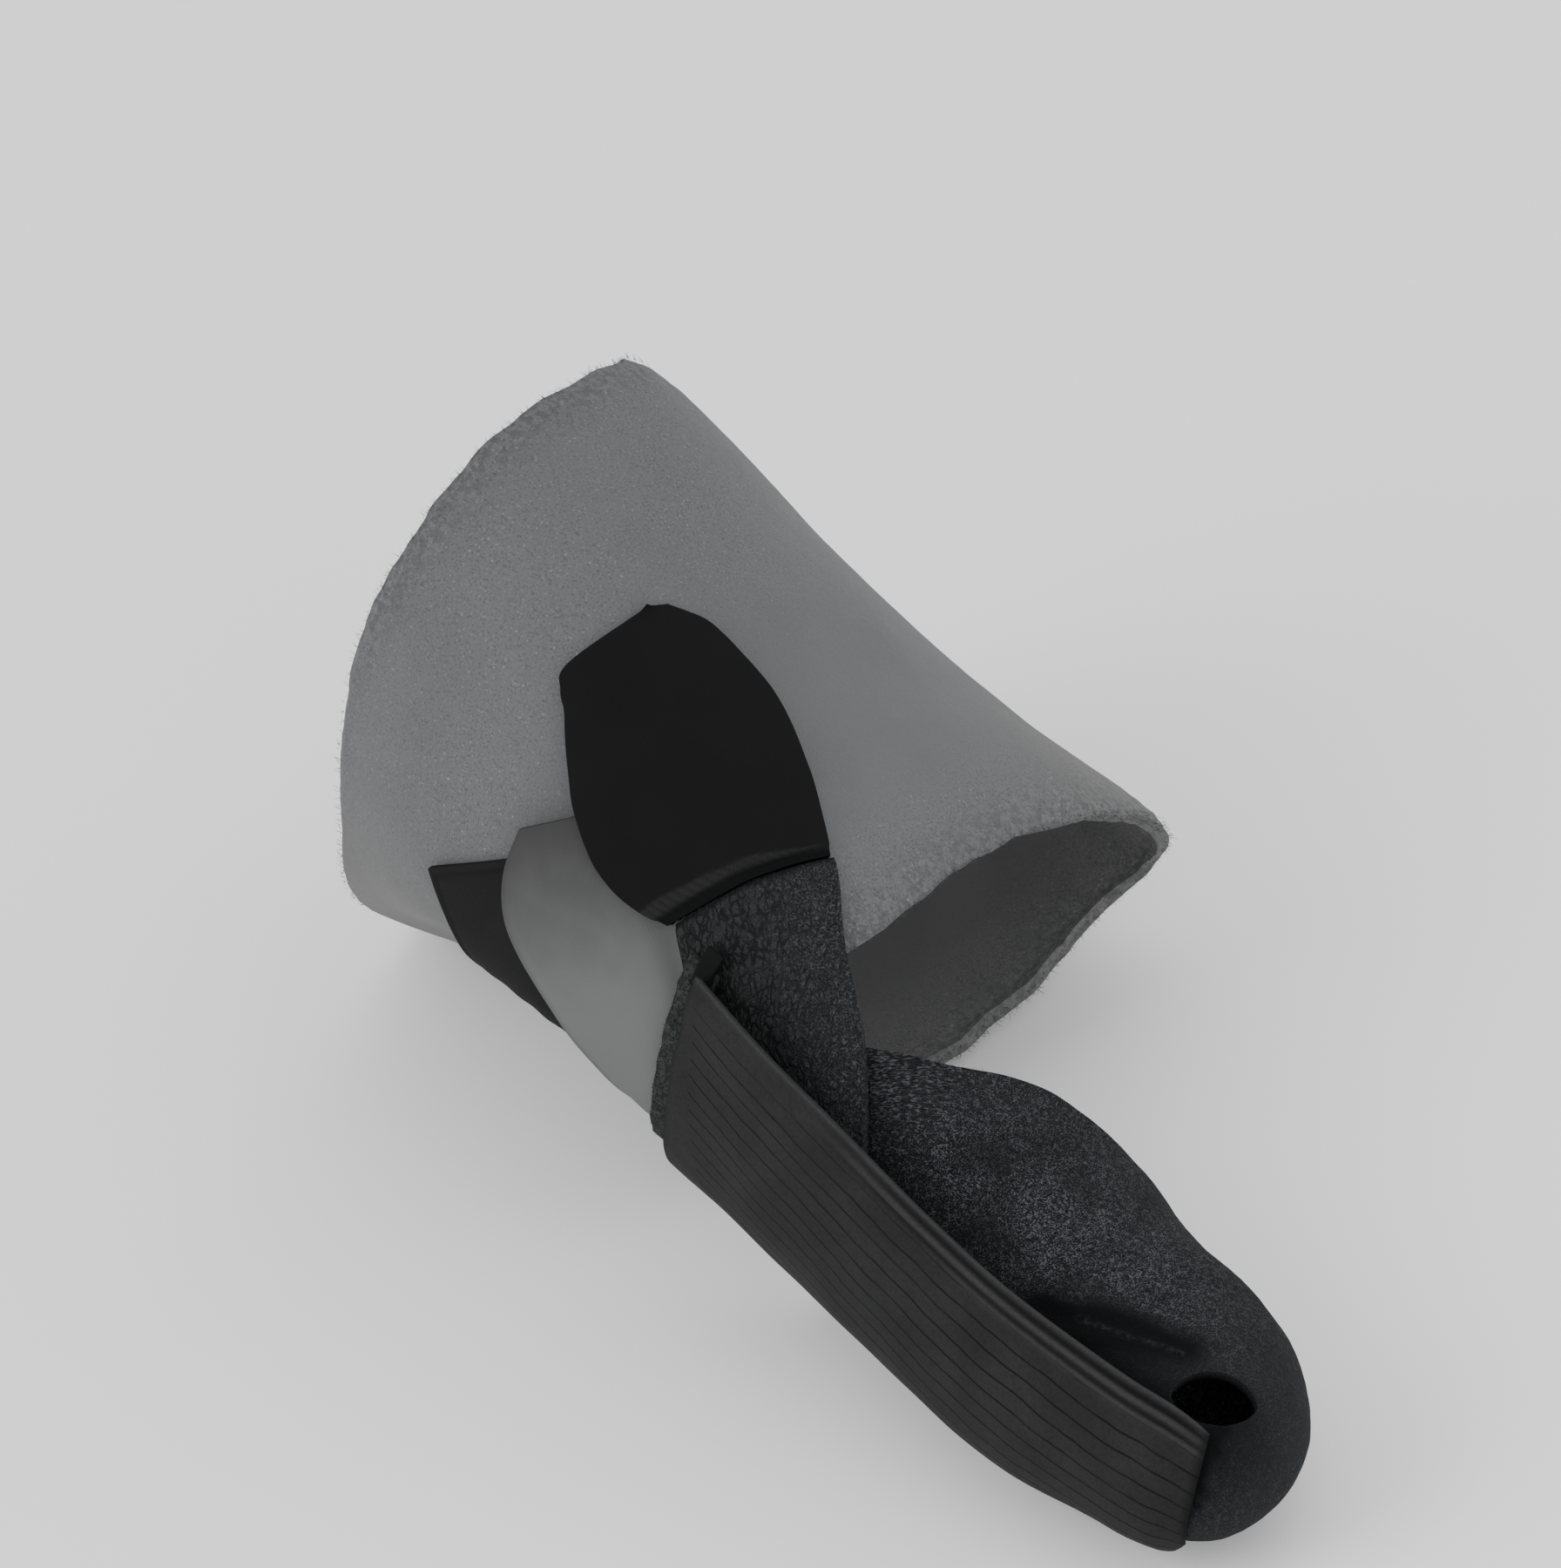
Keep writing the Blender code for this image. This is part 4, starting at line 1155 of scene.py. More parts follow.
class CorrectorLooks(bpy.types.PropertyGroup):
    """Colours and sizes of the cloths."""
    # The wrap blends grey_low into grey_high by height as painted light: paler low on the sides,
    # darker on the top
    grey_low: tint_of("Grey, low", "Fleece of the wrap near the sole", (0.125, 0.125, 0.125))
    grey_high: tint_of("Grey, high", "Fleece of the wrap at the top", (0.103, 0.105, 0.110))
    grey_dark: tint_of("Grey, dark specks", "Dark specks of the wrap", (0.055, 0.056, 0.059))
    grey_pale: tint_of("Grey, pale specks", "Pale specks of the wrap", (0.20, 0.20, 0.20))
    black_pit: tint_of("Black, pits", "Pits between the black naps", (0.0030, 0.0033, 0.0040))
    black_nap: tint_of("Black, nap", "Nap of the black fleece", (0.0128, 0.0135, 0.0146))
    black_speck: tint_of("Black, specks", "Cool specks of the nap", (0.084, 0.091, 0.105))
    strap_smooth: tint_of("Strap, smooth", "Smooth nap of the strap", (0.0190, 0.0212, 0.0206))
    tab_black: tint_of("Tab", "Smooth black of the hook tab", (0.0048, 0.0048, 0.0050))
    tab_strip: tint_of("Tab, gathered strip", "Strip along its seam", (0.016, 0.016, 0.016))
    arch_black: tint_of("Arch strap", "Smooth black of the arch strap", (0.0080, 0.0080, 0.0081))
    tape_black: tint_of("Tape", "Tape end at the band's corner", (0.0045, 0.0047, 0.0047))
    # knit_top and knit_low blend along the tongue as painted shade, darker at the end tucked under
    # the tab
    knit_top: tint_of("Knit, top", "Knit at the tongue's tucked end", (0.041, 0.041, 0.041))
    knit_low: tint_of("Knit, low", "Knit at the tongue's low end", (0.114, 0.116, 0.116))
    rib_low: tint_of("Elastic, dark", "Darker shade of the elastic", (0.0133, 0.0133, 0.0141))
    rib_high: tint_of("Elastic, pale", "Paler shade of the elastic", (0.0178, 0.0178, 0.0184))
    rib_line: tint_of("Elastic, lines", "Thin lines in the elastic", (0.0040, 0.0040, 0.0045))
    # rib_highlight is the colour of the painted highlight on the hem's rounded edge and ridges
    rib_highlight: tint_of("Elastic, ridges", "Highlighted ridges of its hem", (0.050, 0.050, 0.050))
    lining: tint_of("Lining", "Fuzzy lining behind the elastic", (0.025, 0.028, 0.027))
    speckle: size_of("Speckle", "Width of one speck of the fleeces", 0.00032)
    rib_pitch: size_of("Rib pitch", "Distance between the elastic's lines", 0.0022)
    hem: size_of("Hem", "Width of the elastic's folded hem", 0.0035)
    fuzz: size_of("Fuzz", "Length of the fibres at the fleeces' edges", 0.0009)
    nub: size_of("Nubs", "Height of the nubs at the wrap's open edges", 0.0002)


class CorrectorStage(bpy.types.PropertyGroup):
    """Floor, lights and camera."""
    azimuth: size_of("Azimuth", "Where the camera stands round the part", radians(48.818), "ANGLE")
    elevation: size_of("Elevation", "How high the camera looks down from", radians(35.903), "ANGLE")
    roll: size_of("Roll", "Turn of the camera about its own axis", radians(-9.178), "ANGLE")
    distance: size_of("Distance", "From the camera to its aim", 2.962)
    lens: FloatProperty(name="Lens", description="Focal length in millimetres", default=539.9)
    aim: FloatVectorProperty(name="Aim", description="Point in the middle of the picture",
                             subtype="TRANSLATION", size=3, default=(0.00517, 0.00445, 0.00661))
    key: FloatProperty(name="Key light", description="Power of the main light in watts",
                       default=10.5)
    air: FloatProperty(name="Air", description="Strength of the light from all round", default=1.0)


class CORRECTOR_OT_wrap(bpy.types.Operator):
    """Midfoot wrap of brushed grey fleece, with nubs and fuzz along its open edges"""
    bl_idname = "corrector.wrap"
    bl_label = "Midfoot wrap"

    def execute(self, context):
        looks = context.scene.corrector_looks
        cloth = self.cloth()
        turns = cloth.column_share * 2.0 * pi
        corner = CORNER_REACH * ridge_line(turns, radians(CORNER_TURN), radians(CORNER_WIDE))
        back_way = cloth.points[0] - cloth.points[3]
        back_way /= np.linalg.norm(back_way, axis=1, keepdims=True)
        fade = 1.0 - eased(cloth.row_share, 0.0, 0.35)
        corner_way = back_way[None] + cloth.normals * CORNER_FLARE
        cloth.points += corner_way * (corner * fade)[:, :, None]
        near = cloth.edge_distance(rows_only=True)
        for row, beside_row in ((0, 1), (-1, -2)):
            way = cloth.points[row] - cloth.points[beside_row]
            way /= np.linalg.norm(way, axis=1, keepdims=True)
            line = cloth.points[row][None]
            scallop = bumpy(line, WRAP_SCALLOPS)[0]
            for depth, share in ((0, 1.0), (1, 0.66), (2, 0.33)):
                inner = depth if row == 0 else -1 - depth
                cloth.points[inner] += way * (scallop * share)[:, None]
        high = eased(cloth.points[:, :, 2], 0.052, 0.080)
        rear = (1.0 - eased(cloth.along - 0.0015 * high, -0.001, 0.0065)) * (0.40 + 0.60 * high)
        ahead = 1.0 - eased(cloth.along[-1:] - cloth.along, 0.0005, 0.009)
        edge = np.maximum(rear, ahead * 0.85)
        nubs = ruffle(cloth.points, NUB_PITCH, 3) * edge
        soft = bumpy(cloth.points, WRAP_BUMPS)
        droop = -DROOP_DEPTH * (1.0 - eased(near, 0.0, DROOP_REACH))
        patch = 0.5 + 0.5 * ruffle(cloth.points, PATCH_PITCH, 6)
        front = 1.0 - eased(cloth.along[-1:] - cloth.along, 0.004, 0.018)
        back = (1.0 - eased(cloth.along, 0.020, 0.050)) * (0.45 + patch)
        back = back * eased(cloth.points[:, :, 2], 0.030, 0.055)
        speckled = np.clip(back + front + edge * 0.5, 0.0, 1.0)
        relief = soft + nubs * looks.nub + droop
        piece = woven_piece("midfoot_wrap_fleece", cloth, WRAP_WALL, relief,
                            {"edge": edge, "speckled": speckled}, rounding=0.0004)
        settle(piece, "midfoot_wrap", brushed_grey(looks))
        rims = (rim(cloth, WRAP_WALL, "first_row", WRAP_FIBRES, 11)
                + rim(cloth, WRAP_WALL, "last_row", WRAP_FIBRES, 12))
        fuzz = edge_fuzz("midfoot_wrap_fuzz", rims, looks.fuzz, 13)
        settle(fuzz, None, plain_fibre("grey_fibre", colour(looks.grey_high)))
        declare(cloth)
        return {"FINISHED"}

    def cloth(self):
        """Fine tube of the wrap between its two slanted edges."""
        edges = WRAP_EDGES + (WRAP_EDGES[0]._replace(turn=360),)
        places = []
        for row in range(WRAP_ALONG + 1):
            line = []
            for column in range(WRAP_ROUND + 1):
                turn = 360.0 * (column % WRAP_ROUND) / WRAP_ROUND
                edge = between(edges, "turn", turn)
                share = edge.back + (edge.front - edge.back) * row / WRAP_ALONG
                line.append((share * FOOT_LENGTH, radians(turn)))
            places.append(line)
        return Cloth(*ground(places), WRAP_FINER, WRAP_FINER - 1, closed=True)


class CORRECTOR_OT_sleeve(bpy.types.Operator):
    """Toe sleeve of brushed black fleece, with its nail window, its fold and its fuzz"""
    bl_idname = "corrector.sleeve"
    bl_label = "Toe sleeve"

    def execute(self, context):
        looks = context.scene.corrector_looks
        cloth, turns = self.cloth()
        face = cloth.points + cloth.normals * SLEEVE_WALL
        fold = away_from(face, SLEEVE_FOLD, SLEEVE_WALL)
        thread = away_from(face, FOLD_LINE, SLEEVE_WALL)
        seam = away_from(face, TOE_SEAM, SLEEVE_WALL)
        band = away_from(face, [(stop.along, stop.turn) for stop in BAND_EDGE], SLEEVE_WALL)
        beside = 1.0 - eased(band, 0.0005, 0.0075)
        soft = bumpy(cloth.points, SLEEVE_BUMPS)
        relief = soft - FOLD_DEPTH * ridge_line(fold, 0.0, FOLD_WIDE)
        relief = relief + THREAD_RISE * ridge_line(thread, 0.0, THREAD_WIDE)
        pucker = ruffle(cloth.points, PUCKER_PITCH, 9) * ridge_line(seam, 0.0, PUCKER_WIDE)
        relief = relief + pucker * PUCKER_RISE
        first = SLEEVE_EDGES[0].along
        travel = cloth.row_share * (TRAVEL_END / FOOT_LENGTH - first) + first
        off = np.abs((turns - NECK_AT[1] + 180.0) % 360.0 - 180.0)
        neck = ridge_line(travel, NECK_AT[0], NECK_LONG) * ridge_line(off, 0.0, NECK_ARC)
        relief = relief + NECK_FILL * neck
        corner = eased(travel, 0.868, 0.895) * (1.0 - eased(band, 0.0060, 0.0105))
        dark = (ridge_line(fold, 0.0, 0.0030) * 0.90 + ridge_line(seam, 0.0, 0.0009) * 0.6
                + np.clip(-pucker, 0.0, 1.0) * 0.5)
        marks = {
            "combed": 1.0 - eased(travel, 0.70, 0.78),
            "pressed": np.clip(eased(travel, 0.90, 0.985) + corner, 0.0, 1.0),
            "shade": np.clip(dark + beside * 0.45 + corner * 0.35 + neck * 0.24, 0.0, 1.0),
            "speckled": 0.60 + 0.40 * eased(cloth.across, 0.004, 0.018),
            "line": ridge_line(thread, 0.0, 0.00042),
        }
        piece = woven_piece("toe_sleeve_fleece", cloth, SLEEVE_WALL, relief, marks)
        self.cut_window(piece)
        settle(piece, "toe_sleeve", brushed_black(looks))
        rims = (rim(cloth, SLEEVE_WALL, "first_column", SLEEVE_TOP_FIBRES, 14)
                + rim(cloth, SLEEVE_WALL, "last_column", SLEEVE_SOLE_FIBRES, 15))
        open_to = SLEEVE_EDGES[-1].along * FOOT_LENGTH - SEAT.x - 0.006
        rims = [place for place in rims if place[0].x < open_to]
        fuzz = edge_fuzz("toe_sleeve_fuzz", rims, looks.fuzz * 0.8, 16)
        settle(fuzz, None, plain_fibre("black_fibre", colour(looks.black_nap, 1.6)))
        declare(cloth)
        return {"FINISHED"}

    def cloth(self):
        """Fine cloth of the sleeve, closed round the toe and split behind the web, and its turns in
        degrees."""
        start = SLEEVE_EDGES[0].along * FOOT_LENGTH
        places, turns = [], []
        for row in range(SLEEVE_ALONG + 1):
            travel = start + (TRAVEL_END - start) * row / SLEEVE_ALONG
            share = min(travel / FOOT_LENGTH, SLEEVE_EDGES[-1].along)
            edge = between(SLEEVE_EDGES, "along", share)
            line = []
            for column in range(SLEEVE_ROUND + 1):
                turn = edge.upper + (edge.under - edge.upper) * column / SLEEVE_ROUND
                line.append((travel, radians(turn % 360.0)))
            places.append(line)
            turns.append([edge.upper, edge.under])
        cloth = Cloth(*ground(places), SLEEVE_FINER, SLEEVE_FINER - 1)
        ends = refined(turns, SLEEVE_FINER, 1)[:, :, 0]
        return cloth, ends[:, :1] + (ends[:, 1:] - ends[:, :1]) * cloth.column_share

    def cut_window(self, piece):
        """Cut the nail window, an oval with narrow ends, and keep the result as the mesh."""
        travel, turn = WINDOW_ALONG * FOOT_LENGTH, radians(WINDOW_TURN)
        normal = outwards(travel, turn)
        way = course_way(travel, turn, -WINDOW_TWIST)
        side = normal.cross(way)
        middle = on_foot(travel, turn) - SEAT
        bm = bmesh.new()
        bmesh.ops.create_cone(bm, cap_ends=True, segments=WINDOW_SIDES, radius1=0.5, radius2=0.5,
                              depth=1.0)
        for vertex in bm.verts:
            x, y, z = vertex.co
            y *= (2.0 * abs(y)) ** WINDOW_POINT
            vertex.co = (middle + way * x * WINDOW_LENGTH + side * y * WINDOW_WIDTH
                         + normal * z * SLEEVE_WALL * 4.0)
        bmesh.ops.recalc_face_normals(bm, faces=bm.faces)
        cutter = placed("nail_window_cutter", bm)
        cut = piece.modifiers.new("nail window", "BOOLEAN")
        cut.operation = "DIFFERENCE"
        cut.object = cutter
        bpy.context.view_layer.update()
        depsgraph = bpy.context.evaluated_depsgraph_get()
        finished = bpy.data.meshes.new_from_object(piece.evaluated_get(depsgraph))
        old, spent = piece.data, cutter.data
        piece.modifiers.clear()
        piece.data = finished
        bpy.data.objects.remove(cutter)
        bpy.data.meshes.remove(old)
        bpy.data.meshes.remove(spent)


class CORRECTOR_OT_tongue(bpy.types.Operator):
    """Arch strap of smooth black webbing, and the tongue of grey knit over it"""
    bl_idname = "corrector.tongue"
    bl_label = "Arch strap and tongue"

    def execute(self, context):
        looks = context.scene.corrector_looks
        arch = strap_cloth(ARCH_COURSE, ARCH_OUTLINE, ARCH_LENGTH, ARCH_WIDTH, ("midfoot_wrap",))
        near = arch.edge_distance()
        none = np.zeros(near.shape)
        hem = ridge_line(near, HEM_LINE, HEM_LINE_WIDE)
        marks = {"gathered": none, "pleat": none, "shade": 0.35 * hem}
        relief = -HEM_LINE_DEPTH * hem
        piece = woven_piece("arch_strap_web", arch, ARCH_WALL, relief, marks, rounding=0.00025)
        settle(piece, "arch_strap",
               smooth_black(looks, colour(looks.arch_black), "arch_web"))
        declare(arch)

        tongue = strap_cloth(TONGUE_COURSE, TONGUE_OUTLINE, TONGUE_LENGTH, TONGUE_WIDTH,
                             ("midfoot_wrap", "arch_strap"))
        slanted = tongue.column_share - 0.66 - 0.20 * (tongue.row_share - 0.35)
        crease = ridge_line(slanted, 0.0, 0.085)
        crease = crease * eased(tongue.row_share, 0.10, 0.30)
        crease = crease * (1.0 - eased(tongue.row_share, 0.45, 0.75))
        near = tongue.edge_distance()
        relief = -TONGUE_CREASE * crease + bumpy(tongue.points, TONGUE_BUMPS)
        border = 1.0 - eased(near, 0.0002, 0.0012)
        marks = {"shade": np.clip(crease * 0.35 + 0.30 * border, 0.0, 1.0)}
        piece = woven_piece("wrap_tongue_knit", tongue, TONGUE_WALL, relief, marks, rounding=0.0004)
        settle(piece, "wrap_tongue", knitted_grey(looks))
        declare(tongue)
        return {"FINISHED"}


class CORRECTOR_OT_instep(bpy.types.Operator):
    """Instep strap of black fleece, and the smooth hook tab sewn to its end"""
    bl_idname = "corrector.instep"
    bl_label = "Instep strap and hook tab"

    def execute(self, context):
        looks = context.scene.corrector_looks
        instep = strap_cloth(SEAM_AT._replace(bend=INSTEP_BEND), INSTEP_OUTLINE, INSTEP_LENGTH,
                             INSTEP_WIDTH,
                             ("midfoot_wrap", "toe_sleeve", "arch_strap", "wrap_tongue"), CLEARANCE)
        soft = bumpy(instep.points, INSTEP_BUMPS)
        dip = ridge_line(instep.along, 0.0, STRAP_DIP_WIDE)
        smooth = 1.0 - eased(instep.column_share, 0.30, 0.95)
        smooth = smooth * (1.0 - eased(instep.row_share, 0.45, 0.90) * 0.4)
        piece = woven_piece("instep_strap_fleece", instep, INSTEP_WALL, soft - STRAP_DIP * dip,
                            {"smooth": smooth, "shade": dip * 0.9}, rounding=0.0003)
        settle(piece, "instep_strap", creased_black(looks))
        rims = rim(instep, INSTEP_WALL, "last_column", INSTEP_FIBRES, 20)
        fuzz = edge_fuzz("instep_strap_fuzz", rims, looks.fuzz * 0.6, 21)
        settle(fuzz, None, plain_fibre("strap_fibre", colour(looks.black_nap, 1.6)))
        declare(instep)

        tab = strap_cloth(SEAM_AT._replace(course=SEAM_AT.course + 180), TAB_OUTLINE, TAB_LENGTH,
                          TAB_WIDTH, ("midfoot_wrap", "wrap_tongue"), CLEARANCE)
        tab.points[0] += (tab.points[0] - tab.points[1]) * (SEAM_LAP / tab.along[1].mean())
        ripple = ruffle(tab.points, 0.004, 22) * 0.25
        pleat = (0.5 + 0.5 * np.sin(tab.across * 2.0 * pi / PLEAT_PITCH + ripple * 9.0)) ** 0.6
        deep = STRIP_DEEP - STRIP_TAPER * tab.column_share + ripple * 0.0012
        strip = 1.0 - eased(tab.along, deep - 0.0003, deep + 0.0001)
        wide = 1.0 - tab.column_share
        groove = 1.0 - eased(tab.along, 0.0005 + 0.0005 * wide, 0.0009 + 0.0006 * wide)
        relief = strip * (STRIP_RISE + PLEAT_RISE * pleat) - SEAM_GROOVE * groove
        # pleat shapes the relief and also the strip's colour, as painted shade in the pleats'
        # valleys
        piece = woven_piece("hook_tab_web", tab, TAB_WALL, relief,
                            {"gathered": strip * 0.9, "pleat": pleat, "shade": groove * 0.9},
                            rounding=0.0003)
        settle(piece, "hook_tab",
               smooth_black(looks, colour(looks.tab_black), "tab_web"))
        declare(tab)
        return {"FINISHED"}


class CORRECTOR_OT_band(bpy.types.Operator):
    """Ribbed elastic band with its hem, its lining, its tape end and its bar of stitches"""
    bl_idname = "corrector.band"
    bl_label = "Ribbed band"

    def execute(self, context):
        looks = context.scene.corrector_looks
        under = ("midfoot_wrap", "toe_sleeve", "arch_strap", "wrap_tongue", "instep_strap")
        lining = self.lining(looks, under)
        end_tab = self.end_tab(looks)
        cloth = self.cloth(under + ("hook_tab", "band_lining", "band_end_tab"))
        drop, reach = cloth.across, cloth.row_share
        far_end = cloth.along[-1:] - cloth.along
        low_edge = BAND_WIDTH - drop
        to_toe = eased(reach, 0.22, 0.50) * (1.0 - eased(reach, 0.93, 1.0) * 0.5)
        roll = ridge_line(drop, *HEM_ROLL)
        second = ridge_line(drop, *SECOND_RIDGE) * to_toe
        third = ridge_line(drop, *THIRD_RIDGE) * eased(reach, 0.45, 0.70)
        grooves = (ridge_line(drop, *FIRST_GROOVE) + ridge_line(drop, *SECOND_GROOVE)) * to_toe
        end = 1.0 - eased(far_end, 0.0001, 0.0014)
        relief = 0.00018 + 0.00022 * roll + 0.00042 * second + 0.00034 * third - 0.00034 * grooves
        relief = relief * (1.0 - end) - 0.0005 * (1.0 - eased(low_edge, 0.0, 0.0010))
        thin = 1.0 - THIN_END * (1.0 - eased(far_end, 0.0, THIN_REACH))
        relief = relief + bumpy(cloth.points, BAND_BUMPS)
        rear = ridge_line(cloth.along, 0.0, 0.00035)
        marks = {
            # Painted shade in the hem's grooves
            "groove": np.clip(grooves, 0.0, 1.0),
            # Painted highlight on the hem's rounded edge and on its second and third ridges
            "pale": np.clip(ridge_line(drop, *HEM_EDGE_HIGHLIGHT) * 0.60 + second * 0.55 + third * 0.45,
                            0.0, 1.0),
            "shade": np.clip(end * 0.75 + rear * 0.7, 0.0, 1.0),
        }
        piece = woven_piece("ribbed_band_elastic", cloth, BAND_WALL, relief, marks, thin=thin)
        settle(piece, "ribbed_band", ribbed_black(looks))
        bar = self.stitch_bar(looks)
        declare(cloth)
        return {"FINISHED"}

    def cloth(self, under):
        """Fine cloth of the band, which stands off the toe along its upper edge."""
        start = band_start()
        end = BAND_EDGE[-1].along * FOOT_LENGTH
        columns = (RIB_COUNT + 2) * FACETS_PER_RIB
        places = [band_line(start + (end - start) * row / BAND_ALONG, BAND_WIDTH, columns)
                  for row in range(BAND_ALONG + 1)]
        points, normals = ground(places)
        lifts = drape(points, normals, under)
        for row, line in enumerate(lifts):
            bow = sin(pi * row / BAND_ALONG)
            for column in range(len(line)):
                line[column] += BAND_STAND_OFF * bow * max(1.0 - 2.0 * column / columns, 0.0) ** 2
        lifts = taut(points, normals, lifts)
        return Cloth(raise_grid(points, normals, lifts), normals, BAND_FINER, 5)

    def lining(self, looks, under):
        """Fuzzy strip that shows behind the band's rear edge."""
        places = []
        for column in range(LINING_ACROSS + 1):
            offset = -LINING_SHOWS + (LINING_SHOWS + LINING_TUCK * 0.35) * column / LINING_ACROSS
            places.append(band_line(band_start() + offset, BAND_WIDTH - CLEARANCE, STRAP_ALONG))
        points, normals = ground(places)
        lifts = drape(points, normals, under)
        cloth = Cloth(raise_grid(points, normals, lifts), normals, 8, 8)
        relief = bumpy(cloth.points, LINING_BUMPS)
        way = cloth.points[0] - cloth.points[1]
        way /= np.linalg.norm(way, axis=1, keepdims=True)
        cloth.points[0] += way * bumpy(cloth.points[:1], LINING_SCALLOPS)[0][:, None]
        piece = woven_piece("band_lining_fleece", cloth, LINING_WALL, relief, rounding=0.0002)
        board = plain_fibre("lining_fleece", colour(looks.lining))
        settle(piece, "band_lining", board)
        rims = rim(cloth, LINING_WALL, "first_row", LINING_FIBRES, 26)
        fuzz = edge_fuzz("band_lining_fuzz", rims, looks.fuzz * 0.7, 27)
        settle(fuzz, None, board)
        return piece, fuzz

    def end_tab(self, looks):
        """Square end of tape over the band's rear top corner."""
        places = []
        for column in range(END_TAB_FACETS + 1):
            reach = band_start() - END_TAB_OUT + END_TAB_WIDTH * column / END_TAB_FACETS
            above = band_line(reach, -END_TAB_SHOWS, END_TAB_FACETS)
            below = band_line(reach, END_TAB_TUCK, END_TAB_FACETS)
            places.append(above[::-1] + below[1:])
        points, normals = ground(places)
        lifts = drape(points, normals, ("midfoot_wrap", "toe_sleeve", "wrap_tongue", "instep_strap",
                                        "band_lining"))
        cloth = Cloth(raise_grid(points, normals, lifts), normals, 8, 8)
        none = np.zeros(cloth.along.shape)
        marks = {"gathered": none, "pleat": none, "shade": none}
        piece = woven_piece("band_end_tape", cloth, END_TAB_WALL, none, marks, rounding=0.0002)
        settle(piece, "band_end_tab",
               smooth_black(looks, colour(looks.tape_black), "end_tape"))
        return piece

    def stitch_bar(self, looks):
        """Short bar of stitches that holds the band's end to the toe of the sleeve."""
        travel, turn = BAR_AT[0] * FOOT_LENGTH, radians(BAR_AT[1])
        normal = outwards(travel, turn)
        trees = [TREES["ribbed_band"], TREES["toe_sleeve"]]
        level = height_over(trees, on_foot(travel, turn), normal)
        way = course_way(travel, turn, BAR_COURSE)
        side = normal.cross(way)
        middle = on_foot(travel, turn) + normal * level - SEAT
        bm = bmesh.new()
        for stitch in range(BAR_STITCHES):
            made = bmesh.ops.create_uvsphere(bm, u_segments=10, v_segments=6, radius=0.5)
            spot = (stitch - (BAR_STITCHES - 1) / 2.0) * BAR_LENGTH / BAR_STITCHES
            for vertex in made["verts"]:
                x, y, z = vertex.co
                vertex.co = (middle + way * (spot + x * BAR_LENGTH / BAR_STITCHES * STITCH_OVERLAP)
                             + side * y * BAR_WIDTH + normal * (z * STITCH_RISE + STITCH_OFF))
        bar = placed("toe_stitch_bar", bm)
        board = Board("bar_thread", roughness=0.7)
        board.shader.inputs["Base Color"].default_value = (*colour(looks.black_pit, 0.9), 1.0)
        return settle(bar, None, board)


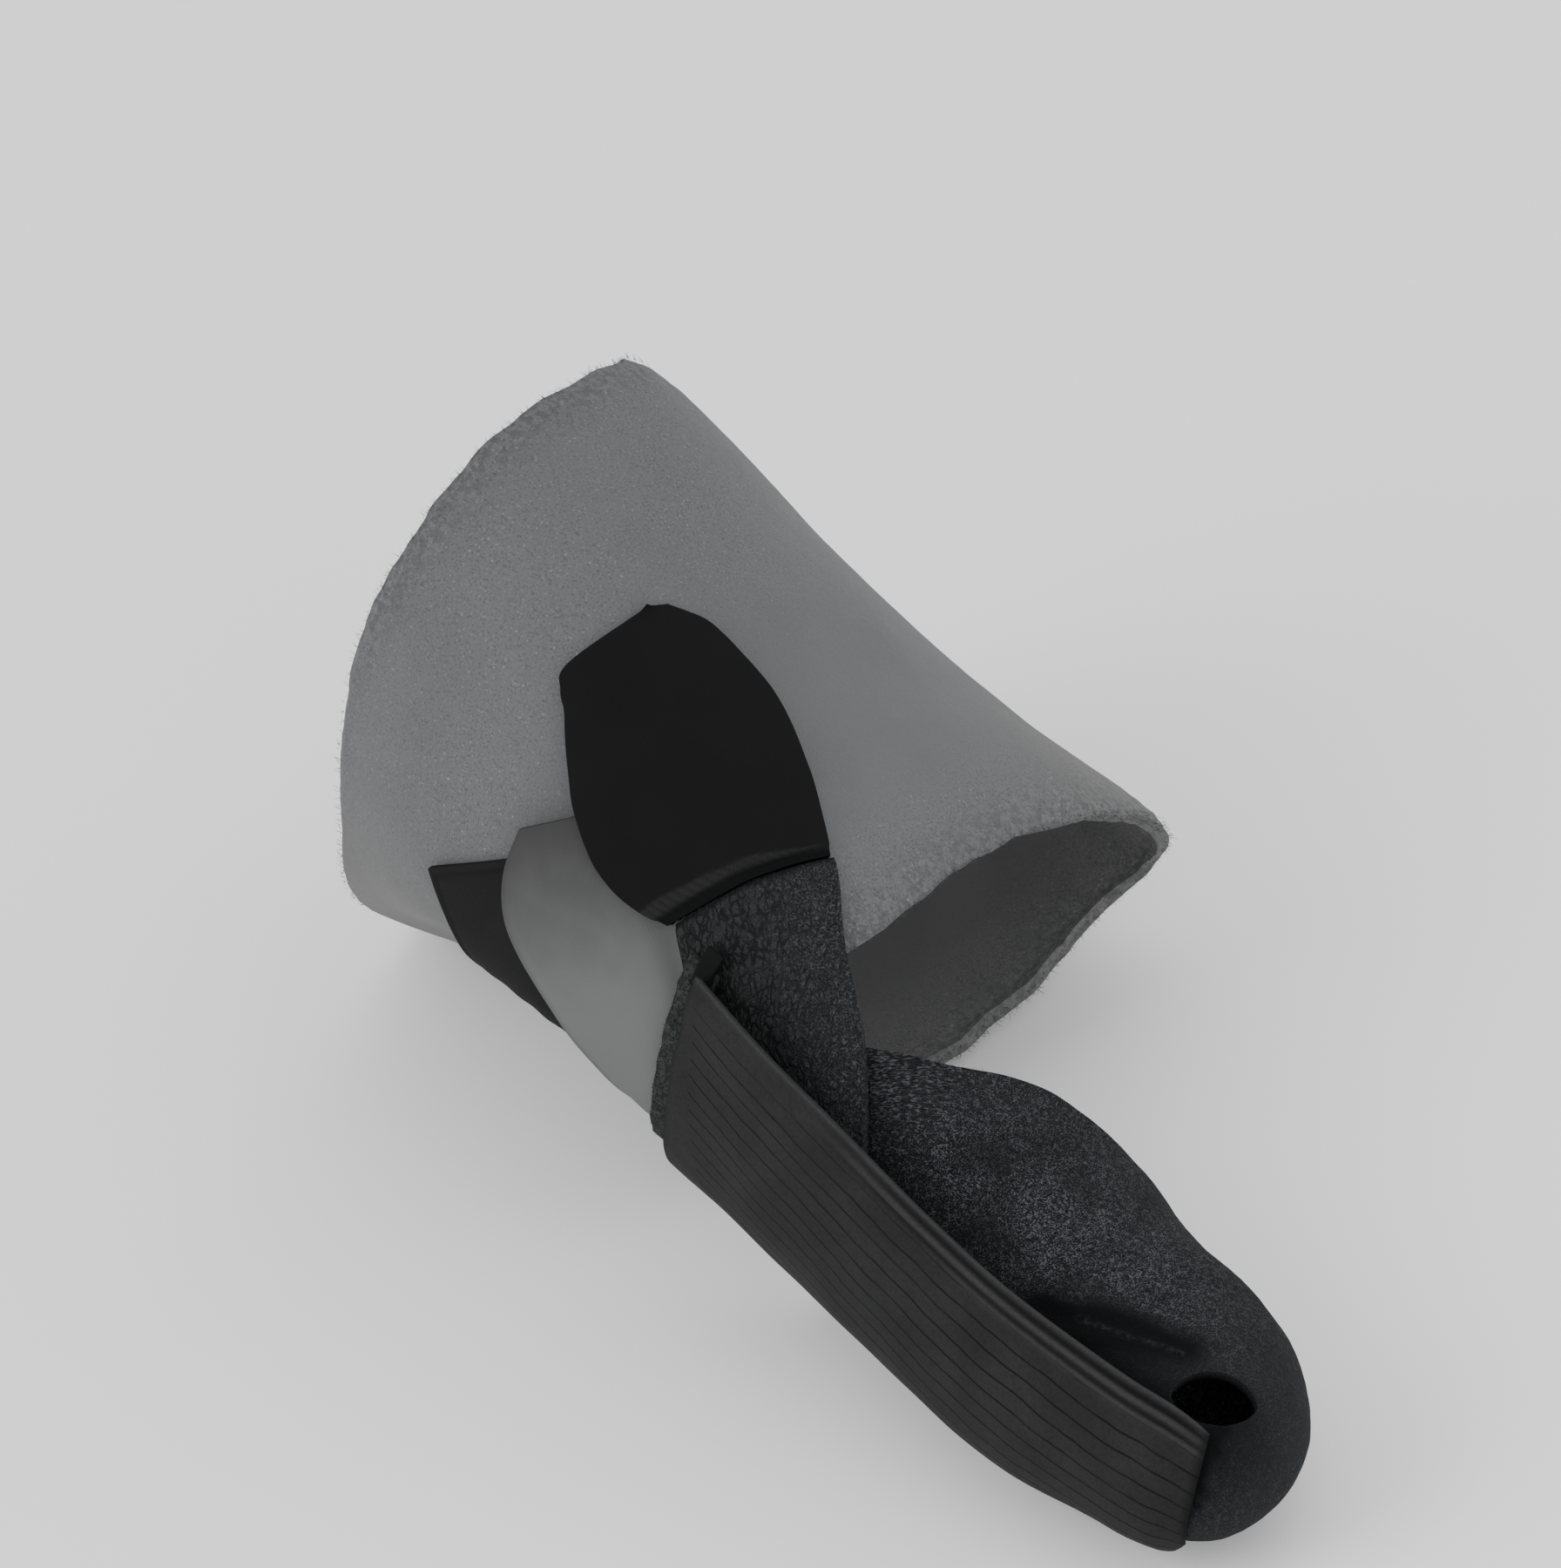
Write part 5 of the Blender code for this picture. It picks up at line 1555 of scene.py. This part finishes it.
class CORRECTOR_OT_stage(bpy.types.Operator):
    """Pale floor, soft lights and the camera"""
    bl_idname = "corrector.stage"
    bl_label = "Stage"

    def execute(self, context):
        stage = context.scene.corrector_stage
        bm = bmesh.new()
        bmesh.ops.create_grid(bm, x_segments=1, y_segments=1, size=FLOOR_HALF)
        bmesh.ops.translate(bm, verts=bm.verts, vec=(0.0, 0.0, CAD_BOX[0][2] - FLOOR_GAP))
        floor = placed("floor", bm)
        board = Board("pale_floor", roughness=0.9)
        board.shader.inputs["Base Color"].default_value = (FLOOR_TONE, FLOOR_TONE, FLOOR_TONE, 1.0)
        floor.data.materials.append(board.material)

        world = bpy.data.worlds.new("air")
        world.use_nodes = True
        air = world.node_tree.nodes["Background"]
        air.inputs["Color"].default_value = (1.0, 1.0, 1.0, 1.0)
        air.inputs["Strength"].default_value = stage.air
        context.scene.world = world
        for name, spot, size, share in LAMPS:
            light = bpy.data.lights.new(name, "AREA")
            light.energy = stage.key * share
            light.size = size
            lamp = bpy.data.objects.new(name, light)
            lamp.location = spot
            lamp.rotation_euler = (-Vector(spot)).to_track_quat("-Z", "Y").to_euler()
            context.scene.collection.objects.link(lamp)

        turn, lean, roll = stage.azimuth, stage.elevation, stage.roll
        back = Vector((sin(turn) * cos(lean), -cos(turn) * cos(lean), sin(lean)))
        level = Vector((cos(turn), sin(turn), 0.0))
        rise = back.cross(level)
        right = level * cos(roll) + rise * sin(roll)
        up = rise * cos(roll) - level * sin(roll)
        view = bpy.data.cameras.new("camera")
        view.sensor_fit = "VERTICAL"
        view.sensor_height = SENSOR_HEIGHT
        view.lens = stage.lens
        view.clip_end = CLIP_END
        camera = bpy.data.objects.new("camera", view)
        axes = Matrix((right, up, back)).transposed().to_4x4()
        camera.matrix_world = Matrix.Translation(Vector(stage.aim) + back * stage.distance) @ axes
        context.scene.collection.objects.link(camera)
        context.scene.camera = camera
        return {"FINISHED"}


class CORRECTOR_PT_panel(bpy.types.Panel):
    """Lists the corrector's pieces in the sidebar"""
    bl_idname = "CORRECTOR_PT_panel"
    bl_label = "Bunion corrector"
    bl_space_type = "VIEW_3D"
    bl_region_type = "UI"
    bl_category = "Corrector"

    def draw(self, context):
        for operator in OPERATORS:
            self.layout.operator(operator.bl_idname)
        for group in (context.scene.corrector_looks, context.scene.corrector_stage):
            for name in group.__annotations__:
                self.layout.prop(group, name)


OPERATORS = (CORRECTOR_OT_wrap, CORRECTOR_OT_sleeve, CORRECTOR_OT_tongue, CORRECTOR_OT_instep,
             CORRECTOR_OT_band, CORRECTOR_OT_stage)
CLASSES = (CorrectorLooks, CorrectorStage) + OPERATORS + (CORRECTOR_PT_panel,)


def register():
    for kind in CLASSES:
        bpy.utils.register_class(kind)
    bpy.types.Scene.corrector_looks = PointerProperty(type=CorrectorLooks)
    bpy.types.Scene.corrector_stage = PointerProperty(type=CorrectorStage)


def unregister():
    del bpy.types.Scene.corrector_stage
    del bpy.types.Scene.corrector_looks
    for kind in reversed(CLASSES):
        bpy.utils.unregister_class(kind)


def main():
    register()
    bpy.ops.corrector.wrap()
    bpy.ops.corrector.sleeve()
    bpy.ops.corrector.tongue()
    bpy.ops.corrector.instep()
    bpy.ops.corrector.band()
    bpy.ops.corrector.stage()


if __name__ == "__main__":
    main()
